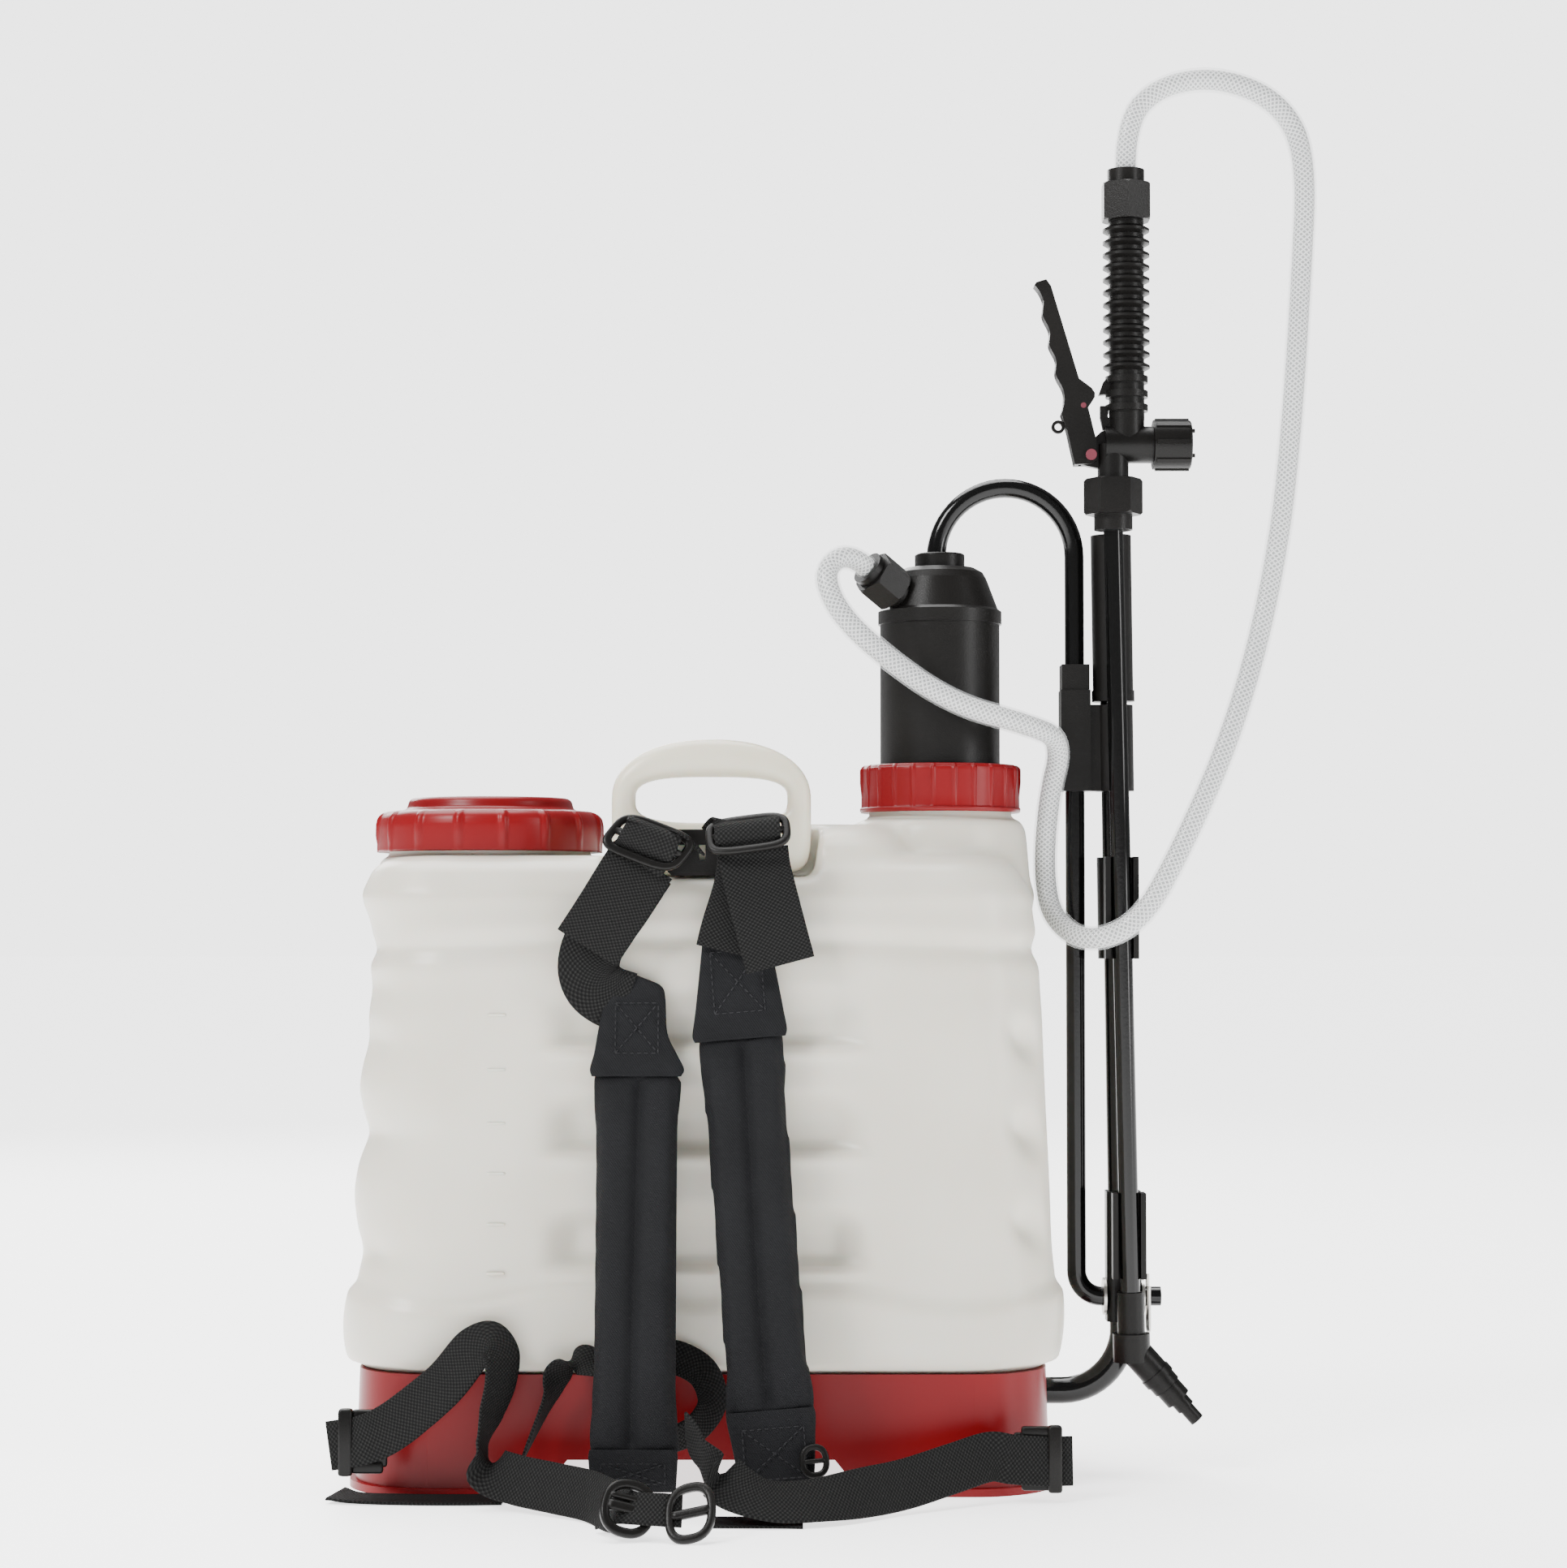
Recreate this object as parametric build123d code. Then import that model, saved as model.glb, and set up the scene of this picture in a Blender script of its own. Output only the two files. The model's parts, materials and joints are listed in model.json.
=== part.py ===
from build123d import *
import os
from math import atan2, cos, degrees, hypot, pi, radians, sin, tan

# Backpack sprayer, 16 litre size, millimetres.
# Origin: middle of the base on the floor. +Z up, +X towards the pump lever, -Y towards the wearer's back.

os.makedirs("parts", exist_ok=True)

# ---------- driving dimensions ----------

# tank
TANK_FLOOR = 62.0
TANK_WALL = 3.0
BAND_HALF_WIDTH = 190.0
TANK_HALF_DEPTH = 90.0
CORNER = 42.0

# filler opening
FILLER_X = -117.4
FILLER_TURRET_R = 61.0
FILLER_TURRET_TOP = 331.0
FILLER_NECK_R = 54.7
FILLER_BORE_R = 50.0
FILLER_RIM = 346.0

# pump
PUMP_X = 128.0
PUMP_TURRET_R = 46.5
PUMP_TURRET_TOP = 352.0
PUMP_NECK_R = 38.5
PUMP_BORE_R = 35.3
PUMP_RIM = 371.0
COLLAR_R = 43.6
COLLAR_BOTTOM = 355.0
COLLAR_TOP = 381.0
CYLINDER_R = 35.0
CYLINDER_BORE_R = 33.3
CYLINDER_FLOOR = 96.0
CHAMBER_R = 32.6
CHAMBER_WALL = 2.4
CHAMBER_BOTTOM = 168.0
CHAMBER_TOP = 458.0
HEAD_RIM_R = 33.7
HEAD_TOP = 489.0
CAP_R = 13.6
CAP_TOP = 497.0
CAP_PLUG_R = 12.6
CAP_SOCKET_FLOOR = 464.0
CAP_SLOT_WIDTH = 11.2
CAP_SLOT_LENGTH = 20.6

# link rod between the lever's crank pin and the cap of the pressure chamber
ROD_R = 5.2
ROD_TIP = 477.0
ROD_CANE_R = 37.7
ROD_CANE_Z = 495.5
ROD_UP_X = 201.6
ROD_IN_X = ROD_UP_X - 2 * ROD_CANE_R
PIN_Z = 93.0
ROD_PIN_END_X = 247.0

# lever
SHAFT_Z = 42.3
LEVER_R = 7.1
LEVER_BORE_R = 5.6
LEVER_FOOT_X = 226.9
LEVER_HEAD_X = 221.7
LEVER_TOP = 507.0
LEVER_TUBE_TOP = 505.0
LEVER_BEND_R = 33.0
SHAFT_INNER_X = 8.0
RUNNING = 0.05

# spray lance, which lies in front of the lever
LANCE_Y = -17.0
LANCE_R = 5.3
LANCE_HEAD = (221.5, 507.5)
LANCE_FOOT = (229.0, 97.0)
GRIP_X = 229.0
TRIGGER_PIVOT = (209.1, 548.6)
VALVE_Z = 554.7
HOSE_R = 6.65

# base
BASE_HALF_WIDTH = 181.0
BASE_HALF_DEPTH = 86.0
BASE_WALL = 3.0
ARCH_HEIGHT = 18.5
ARCH_HALF_WIDTH = 85.0

# straps
NARROW_WEBBING = 25.0
PAD_WIDTH = 48.0
PAD_THICKNESS = 15.0


# ---------- helpers ----------

def save(shape, node):
    """Write one sub-part to its STEP file."""
    export_step(Compound(shape.solids()), f"parts/{node}.step")


def block(low, high):
    """A box between two opposite corners."""
    size = [abs(b - a) for a, b in zip(low, high)]
    middle = [(a + b) / 2 for a, b in zip(low, high)]
    return Pos(*middle) * Box(*size)


def post(radius, bottom, top, x=0.0, y=0.0, bore=0.0):
    """An upright cylinder or tube between two heights."""
    face = Circle(radius) - Circle(bore) if bore else Circle(radius)
    return Pos(x, y, bottom) * extrude(face, amount=top - bottom)


def bar(radius, left, right, y=0.0, z=0.0, bore=0.0):
    """A cylinder or tube along X."""
    face = Circle(radius) - Circle(bore) if bore else Circle(radius)
    return Plane(origin=(left, y, z), x_dir=(0, 1, 0), z_dir=(1, 0, 0)) * extrude(face, amount=right - left)


def cross_bar(radius, front, back, x, z, bore=0.0):
    """A cylinder or tube along Y."""
    face = Circle(radius) - Circle(bore) if bore else Circle(radius)
    return Plane(origin=(x, front, z), x_dir=(1, 0, 0), z_dir=(0, 1, 0)) * extrude(face, amount=back - front)


def hexagon(across_corners, bottom, top, x=0.0, y=0.0, bore=0.0, turn=0.0):
    """An upright hex nut body with chamfered ends."""
    radius = across_corners / 2
    prism = Pos(x, y, bottom) * Rot(0, 0, turn) * extrude(RegularPolygon(radius, 6), amount=top - bottom)
    cone = post(radius, bottom, top, x, y)
    cone = chamfer(cone.edges().filter_by(GeomType.CIRCLE), 1.2)
    nut = prism & cone
    return nut - post(bore, bottom, top, x, y) if bore else nut


def spun(points, x=0.0, y=0.0):
    """A solid of revolution about an upright axis, from (radius, height) points."""
    profile = make_face(Plane.XZ * Polyline(*points, close=True))
    return Pos(x, y, 0) * revolve(profile, Axis.Z)


def plate(outline, front, back):
    """An upright plate with an (x, z) outline, between two values of Y."""
    face = make_face(Polyline(*outline, close=True))
    return Plane(origin=(0, back, 0), x_dir=(1, 0, 0), z_dir=(0, -1, 0)) * extrude(face, amount=back - front)


def around(shape, count, x=0.0, y=0.0, first=0.0):
    """Copies of a shape, evenly spaced about an upright axis."""
    turns = [first + 360 * n / count for n in range(count)]
    return [Pos(x, y, 0) * Rot(0, 0, turn) * Pos(-x, -y, 0) * shape for turn in turns]


# ---------- tank ----------

# height, left side, right side, half depth, corner radius
TANK_SECTIONS = (
    (TANK_FLOOR, -176, 176, 78, 34),
    (68, -186, 186, 86, 40),
    (80, -BAND_HALF_WIDTH, BAND_HALF_WIDTH, TANK_HALF_DEPTH, CORNER),
    (96, 1 - BAND_HALF_WIDTH, BAND_HALF_WIDTH, TANK_HALF_DEPTH, CORNER),
    (116, -181, 186, 87, CORNER),
    (150, -184, 184, 88, CORNER),
    (179, -176, 183, 87, CORNER),
    (207, -182, 182, 88, CORNER),
    (232, -176, 181, 87, CORNER),
    (262, -176, 179, 87, CORNER),
    (290, -178, 177, 86, CORNER),
    (312, -179, 174, 83, 40),
    (322, -175, 168, 77, 36),
    (328, -166, 158, 68, 30),
)


def tank_section(height, left, right, depth, corner, wall):
    width = right - left - 2 * wall
    return Pos((left + right) / 2, 0, height) * RectangleRounded(width, 2 * (depth - wall), corner - wall)


def tank_body(wall):
    """The tank's outside when wall is 0, or its inside."""
    rows = list(TANK_SECTIONS)
    first, last = rows[0], rows[-1]
    rows[0] = (first[0] + wall, *first[1:])
    rows[-1] = (last[0] - wall, *last[1:])
    body = loft([tank_section(*row, wall) for row in rows])
    body += post(FILLER_TURRET_R - wall, 300, FILLER_TURRET_TOP - wall, FILLER_X)
    body += post(PUMP_TURRET_R - wall, 300, PUMP_TURRET_TOP - wall, PUMP_X)
    hump = [
        Pos(30, 0, 312) * RectangleRounded(176 - 2 * wall, 2 * (74 - wall), 30 - wall),
        Pos(30, 0, 334 - wall) * RectangleRounded(160 - 2 * wall, 2 * (66 - wall), 30 - wall),
        Pos(30, 0, 345 - wall) * RectangleRounded(136 - 2 * wall, 2 * (54 - wall), 26 - wall),
    ]
    return body + loft(hump, ruled=True)


# the notch in the tank's front top edge, which the carry handle stands in
NOTCH = ((-52, -95, 319), (61, -52, 360))


def make_tank():
    outside = tank_body(0)
    outside += post(FILLER_NECK_R, 320, FILLER_RIM, FILLER_X)
    outside += post(PUMP_NECK_R, 340, PUMP_RIM, PUMP_X)
    outside -= block(*NOTCH)
    low, high = NOTCH
    grown = block([v - TANK_WALL for v in low], [v + TANK_WALL for v in high])
    inside = tank_body(TANK_WALL) - grown
    tank = outside - inside
    tank -= post(FILLER_BORE_R, 320, FILLER_RIM, FILLER_X)
    tank -= post(PUMP_BORE_R, 330, PUMP_RIM, PUMP_X)
    return tank


# ---------- filler opening ----------

BASKET_RIM = FILLER_RIM + 1.5
GASKET_TOP = BASKET_RIM + 2.0
BASKET_R = 46.0
BASKET_FLOOR = 292.0
LID_R = 61.0
LID_BOTTOM = 334.0
LID_SHOULDER = 355.0
LID_DOME_R = 44.0
LID_TOP = 363.0
LID_RIBS = 16


def make_basket():
    basket = post(FILLER_NECK_R - 0.4, FILLER_RIM, BASKET_RIM, FILLER_X, bore=BASKET_R - 1.5)
    basket += post(BASKET_R, BASKET_FLOOR, BASKET_RIM, FILLER_X, bore=BASKET_R - 1.5)
    basket += post(BASKET_R, BASKET_FLOOR, BASKET_FLOOR + 1.5, FILLER_X)
    window = block((FILLER_X + 40, -4, 300), (FILLER_X + 50, 4, 338))
    basket -= around(window, 18, FILLER_X)
    hole = post(2.5, BASKET_FLOOR - 1, BASKET_FLOOR + 3, FILLER_X + 12)
    basket -= around(hole, 6, FILLER_X) + around(Pos(12, 0, 0) * hole, 12, FILLER_X) + around(
        Pos(24, 0, 0) * hole, 18, FILLER_X
    )
    return basket


def make_lid():
    top, shoulder, seat = LID_TOP, LID_SHOULDER, GASKET_TOP
    lid = spun(
        [
            (FILLER_NECK_R + 0.8, LID_BOTTOM),
            (LID_R, LID_BOTTOM),
            (LID_R, shoulder - 6),
            (LID_R - 1.5, shoulder - 2),
            (LID_R - 5, shoulder),
            (LID_DOME_R + 3, shoulder + 1),
            (LID_DOME_R, shoulder + 3),
            (LID_DOME_R - 1, top - 2.5),
            (LID_DOME_R - 5, top),
            (0, top),
            (0, top - 3),
            (LID_DOME_R - 5, top - 3),
            (LID_DOME_R - 4, seat),
            (FILLER_NECK_R + 0.8, seat),
        ],
        FILLER_X,
    )
    rib = block((FILLER_X + LID_R - 4, -1.6, LID_BOTTOM + 2), (FILLER_X + LID_R + 0.9, 1.6, shoulder - 2))
    lid += around(rib, LID_RIBS, FILLER_X, first=11.25)
    return lid - post(2.2, top - 5, top + 1, FILLER_X)


def make_vent_valve():
    """The rubber umbrella that lets air in as the tank empties."""
    return post(9, LID_TOP - 4.2, LID_TOP - 3.1, FILLER_X) + post(2, LID_TOP - 4, LID_TOP - 1, FILLER_X)


# ---------- pump ----------

GASKET_THICKNESS = 2.0
FLANGE_TOP = PUMP_RIM + 3.0
COLLAR_RIBS = 24
COLLAR_GAP = 4.2
SEAT_Z = 75.0
SEAT_R = 4.5
BALL_R = 6.3
DELIVERY_SEAT_R = 4.0
PORT_ROOT = (127.5, 0.0, 456.5)
PORT_WAY = Vector(-0.70, -0.48, 0.53).normalized()
PORT_NUT_START = 35.5
PORT_NUT_END = 53.0
PORT_COLLAR_END = 57.0


def port_plane(distance):
    """A plane across the outlet's axis."""
    return Plane(origin=Vector(*PORT_ROOT) + PORT_WAY * distance, z_dir=PORT_WAY)


def port_round(radius, start, end):
    return port_plane(start) * extrude(Circle(radius), amount=end - start)


def make_cylinder():
    tube = post(PUMP_NECK_R, PUMP_RIM, FLANGE_TOP, PUMP_X, bore=CYLINDER_BORE_R)
    tube += post(CYLINDER_R, CYLINDER_FLOOR - 4, FLANGE_TOP, PUMP_X, bore=CYLINDER_BORE_R)
    guide_r = CHAMBER_R + COLLAR_GAP - 0.3
    tube += post(guide_r, FLANGE_TOP - 1, COLLAR_TOP - 0.4, PUMP_X, bore=CYLINDER_BORE_R)
    tube += post(CYLINDER_R, CYLINDER_FLOOR - 4, CYLINDER_FLOOR, PUMP_X)
    tube += post(14, CYLINDER_FLOOR - 14, CYLINDER_FLOOR, PUMP_X)
    tube -= post(11, CYLINDER_FLOOR - 14, CYLINDER_FLOOR - 4, PUMP_X)
    return tube - post(5, CYLINDER_FLOOR - 5, CYLINDER_FLOOR + 1, PUMP_X)


def make_foot_valve():
    """The suction valve's cage, in the foot of the cylinder: the ball's seat and a strainer under it."""
    cage = post(10.9, SEAT_Z, CYLINDER_FLOOR - 5, PUMP_X, bore=8)
    cage += post(10.9, SEAT_Z - 3, SEAT_Z, PUMP_X, bore=SEAT_R)
    cage += post(10.9, SEAT_Z - 7, SEAT_Z - 3, PUMP_X, bore=9)
    slot = block((PUMP_X + 6, -2, SEAT_Z - 6), (PUMP_X + 12, 2, SEAT_Z - 4))
    return cage - around(slot, 6, PUMP_X)


def resting_ball(radius, seat_r, seat_z):
    """A valve ball on the edge of its seat."""
    return Pos(PUMP_X, 0, seat_z + (radius**2 - seat_r**2) ** 0.5 + RUNNING) * Sphere(radius)


def make_collar():
    collar = spun(
        [
            (PUMP_NECK_R + 0.6, COLLAR_BOTTOM),
            (COLLAR_R - 1.2, COLLAR_BOTTOM),
            (COLLAR_R, COLLAR_BOTTOM + 1.5),
            (COLLAR_R, COLLAR_TOP - 3),
            (COLLAR_R - 3, COLLAR_TOP),
            (CHAMBER_R + COLLAR_GAP, COLLAR_TOP),
            (CHAMBER_R + COLLAR_GAP, FLANGE_TOP + GASKET_THICKNESS),
            (PUMP_NECK_R + 0.6, FLANGE_TOP + GASKET_THICKNESS),
        ],
        PUMP_X,
    )
    rib = block((PUMP_X + 40, -0.6, COLLAR_BOTTOM + 2), (PUMP_X + COLLAR_R + 0.6, 0.6, COLLAR_TOP - 4))
    return collar + around(rib, COLLAR_RIBS, PUMP_X, first=7.5)


def make_chamber():
    """The pressure chamber's tube, which is also the pump's plunger."""
    tube = post(CHAMBER_R, CHAMBER_BOTTOM, CHAMBER_TOP, PUMP_X, bore=CHAMBER_R - CHAMBER_WALL)
    tube += post(CHAMBER_R, CHAMBER_BOTTOM, CHAMBER_BOTTOM + 4, PUMP_X)
    tube += post(10, CHAMBER_BOTTOM - 14, CHAMBER_BOTTOM, PUMP_X)
    return tube - post(DELIVERY_SEAT_R, CHAMBER_BOTTOM - 15, CHAMBER_BOTTOM + 5, PUMP_X)


def make_piston_cup():
    cup = post(CYLINDER_BORE_R - 0.1, CHAMBER_BOTTOM - 9, CHAMBER_BOTTOM - 6, PUMP_X, bore=10.0)
    return cup + post(CYLINDER_BORE_R - 0.1, CHAMBER_BOTTOM - 9, CHAMBER_BOTTOM - 1, PUMP_X, bore=30)


def make_piston_retainer():
    return post(22, CHAMBER_BOTTOM - 13, CHAMBER_BOTTOM - 9, PUMP_X, bore=10.0)


def make_head():
    """The chamber's domed head with the hose outlet."""
    head = spun(
        [
            (0, CHAMBER_TOP),
            (HEAD_RIM_R, CHAMBER_TOP),
            (HEAD_RIM_R, CHAMBER_TOP + 7),
            (HEAD_RIM_R - 2, CHAMBER_TOP + 8.5),
            (25.5, HEAD_TOP - 6),
            (23.5, HEAD_TOP - 2.5),
            (19, HEAD_TOP),
            (0, HEAD_TOP),
        ],
        PUMP_X,
    )
    head -= spun(
        [
            (0, CHAMBER_TOP),
            (HEAD_RIM_R - 4, CHAMBER_TOP),
            (HEAD_RIM_R - 5, CHAMBER_TOP + 8),
            (21, HEAD_TOP - 6),
            (0, HEAD_TOP - 6),
        ],
        PUMP_X,
    )
    head += post(CAP_PLUG_R + 2.5, CAP_SOCKET_FLOOR - 2.5, HEAD_TOP, PUMP_X)
    head += port_round(8.6, 27, PORT_NUT_START + 5)
    head -= port_round(4.5, 24, PORT_NUT_START + 6)
    return head - post(CAP_PLUG_R, CAP_SOCKET_FLOOR, HEAD_TOP + 1, PUMP_X)


def make_cap():
    """The cap that drives the chamber. Its slot lets the rod rock as the lever swings."""
    cap = post(CAP_PLUG_R, CAP_SOCKET_FLOOR, HEAD_TOP, PUMP_X)
    flange = post(CAP_R, HEAD_TOP, CAP_TOP, PUMP_X)
    cap += fillet(flange.edges().group_by(Axis.Z)[-1], 1.2)
    slot = Rot(0, 0, 90) * SlotOverall(CAP_SLOT_LENGTH, CAP_SLOT_WIDTH)
    return cap - Pos(ROD_IN_X, 0, CAP_SOCKET_FLOOR + 2) * extrude(slot, amount=CAP_TOP)


# ---------- link rod ----------

ROD_FOOT_BEND_R = 13.5
WASHER_R = 10.0
WASHER_THICKNESS = 1.6
BRACKET_LEFT = 217.4
BRACKET_RIGHT = 236.2
CLIP_WIRE_R = 1.1
CLIP_X = BRACKET_RIGHT + WASHER_THICKNESS + 2.2


def swept(path, radius, bore=0.0):
    """A round bar or tube along a wire."""
    start = Plane(origin=path @ 0, z_dir=path % 0)
    face = start * (Circle(radius) - Circle(bore)) if bore else start * Circle(radius)
    return sweep(face, path=path)


def make_link_rod():
    """A steel rod bent like a walking stick, from the chamber's cap to the lever's crank pin."""
    cane_middle = (ROD_UP_X - ROD_CANE_R, 0, ROD_CANE_Z + ROD_CANE_R)
    start, top = (ROD_IN_X, 0, ROD_TIP), (ROD_IN_X, 0, ROD_CANE_Z)
    side = (ROD_UP_X, 0, ROD_CANE_Z)
    bend_start = (ROD_UP_X, 0, PIN_Z + ROD_FOOT_BEND_R)
    bend_end = (ROD_UP_X + ROD_FOOT_BEND_R, 0, PIN_Z)
    path = Wire(
        [
            Line(start, top).edge(),
            ThreePointArc(top, cane_middle, side).edge(),
            Line(side, bend_start).edge(),
            TangentArc(bend_start, bend_end, tangent=(0, 0, -1)).edge(),
            Line(bend_end, (ROD_PIN_END_X, 0, PIN_Z)).edge(),
        ]
    )
    rod = swept(path, ROD_R)
    return rod - post(CLIP_WIRE_R + 0.1, PIN_Z - 9, PIN_Z + 9, CLIP_X)


def make_rod_washers():
    left = bar(WASHER_R, BRACKET_LEFT - WASHER_THICKNESS - 0.1, BRACKET_LEFT - 0.1, z=PIN_Z, bore=ROD_R + 0.1)
    near = BRACKET_RIGHT + 0.1
    right = bar(WASHER_R, near, near + WASHER_THICKNESS, z=PIN_Z, bore=ROD_R + 0.1)
    return left + right


def make_r_clip():
    """The spring clip through the rod's end: one straight leg, one leg round the outside."""
    leg = Line((CLIP_X, 0, PIN_Z + 12), (CLIP_X, 0, PIN_Z - 15)).edge()
    eye = ThreePointArc(
        (CLIP_X, 0, PIN_Z - 15), (CLIP_X, -3.5, PIN_Z - 18.5), (CLIP_X, -7, PIN_Z - 15)
    ).edge()
    back = Line((CLIP_X, -7, PIN_Z - 15), (CLIP_X, -7, PIN_Z + 6)).edge()
    return swept(Wire([leg, eye, back]), CLIP_WIRE_R)


# ---------- lever ----------

STOW_SLOT = 11.0
STOW_LOW, STOW_HIGH = 367.0, 436.0
LANCE_CLIP_LOW, LANCE_CLIP_HIGH = 276.0, 331.0
BRACKET_LOW, BRACKET_HIGH = 80.0, 150.0
GRIP_LOW = 416.0


def lever_x(height):
    """Where the leaning lever arm is at a height."""
    return LEVER_FOOT_X + (LEVER_HEAD_X - LEVER_FOOT_X) * (height - SHAFT_Z) / (LEVER_TUBE_TOP - SHAFT_Z)


def lance_x(height):
    """Where the leaning lance tube is at a height."""
    run = (LANCE_HEAD[1] - height) / (LANCE_HEAD[1] - LANCE_FOOT[1])
    return LANCE_HEAD[0] + run * (LANCE_FOOT[0] - LANCE_HEAD[0])


def along_lever(radius, low, high, bore=0.0):
    """A sleeve on the leaning lever arm."""
    foot, head = Vector(lever_x(low), 0, low), Vector(lever_x(high), 0, high)
    face = Circle(radius) - Circle(bore) if bore else Circle(radius)
    return Plane(origin=foot, z_dir=head - foot) * extrude(face, amount=(head - foot).length)


def along_lance(radius, low, high, bore=0.0):
    """A sleeve on the leaning lance tube."""
    foot, head = Vector(lance_x(low), LANCE_Y, low), Vector(lance_x(high), LANCE_Y, high)
    face = Circle(radius) - Circle(bore) if bore else Circle(radius)
    return Plane(origin=foot, z_dir=head - foot) * extrude(face, amount=(head - foot).length)


def make_lever_tube():
    path = FilletPolyline(
        (SHAFT_INNER_X, 0, SHAFT_Z),
        (LEVER_FOOT_X, 0, SHAFT_Z),
        (LEVER_HEAD_X, 0, LEVER_TUBE_TOP),
        radius=LEVER_BEND_R,
    )
    tube = swept(path.wire(), LEVER_R, LEVER_BORE_R)
    return tube - bar(ROD_R + 0.3, BRACKET_LEFT - 2, BRACKET_RIGHT + 2, z=PIN_Z)


def make_lever_grip():
    grip = along_lever(11, GRIP_LOW, LEVER_TOP, LEVER_R)
    grip += along_lever(11.6, GRIP_LOW, GRIP_LOW + 6, LEVER_R)
    grip += along_lever(10.9, LEVER_TUBE_TOP, LEVER_TOP)
    return grip


def lance_jaw(low, high):
    """A fork, open towards -Y, that the lance tube is pushed into."""
    x = lance_x((low + high) / 2)
    jaw = block((x - 9, LANCE_Y - 3.0, low), (x + 9, -7.5, high))
    return jaw - block((x - 6.1, LANCE_Y - 6, low - 1), (x + 6.1, LANCE_Y + 5.6, high + 1))


def make_lance_clip():
    low, high = LANCE_CLIP_LOW, LANCE_CLIP_HIGH
    return along_lever(10.3, low, high) + lance_jaw(low, high) - along_lever(LEVER_R, low - 2, high + 2)


def make_bracket():
    """The sleeve at the foot of the lever that holds the crank pin and the lance's lower fork."""
    low, high = BRACKET_LOW, BRACKET_HIGH
    body = block((BRACKET_LEFT, -9, low), (BRACKET_RIGHT, 9, high))
    body = fillet(body.edges().filter_by(Axis.Z), 4)
    body += lance_jaw(104, high)
    body -= along_lever(LEVER_R, low - 2, high + 2)
    return body - bar(ROD_R + RUNNING, BRACKET_LEFT - 2, BRACKET_RIGHT + 2, z=PIN_Z)


def make_stow_clip():
    """The clip that holds the lever against the link rod when stowed. It is open towards +Y."""
    low, high = STOW_LOW, STOW_HIGH
    x, half = ROD_UP_X, STOW_SLOT / 2
    clip = block((x - half - 2.6, -10, low), (x + half + 2.4, 9, high - 14))
    clip += block((x - half - 2.0, -8.5, high - 14), (x + half + 2.0, 9, high))
    clip += block((x + half, -7, low), (lever_x(low), 5, GRIP_LOW - 2))
    clip += along_lever(10.6, low, GRIP_LOW - 2)
    clip -= along_lever(LEVER_R, low - 2, high)
    return clip - block((x - half, -5.8, low - 1), (x + half, 12, high + 1))


# ---------- lance, grip and valve ----------

GRIP_CORE_R = 9.6
GRIP_RING_R = 12.7
GRIP_BOTTOM, GRIP_TOP = 568.0, 677.0
FIRST_RING = 597.0
RING_STEP = 6.8
NUT_LOW, NUT_HIGH = 516.5, 536.0
HOSE_NUT_LOW, HOSE_NUT_HIGH, HOSE_EXIT_Z = 677.0, 697.5, 705.0
VALVE_LEFT, VALVE_RIGHT = 217.0, 243.0
VALVE_R = 10.0
VALVE_BORE_R = 6.6
EAR_HALF = 2.4


def make_lance_tube():
    return along_lance(LANCE_R, LANCE_FOOT[1] - 14, NUT_LOW + 12, 3.8)


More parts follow.
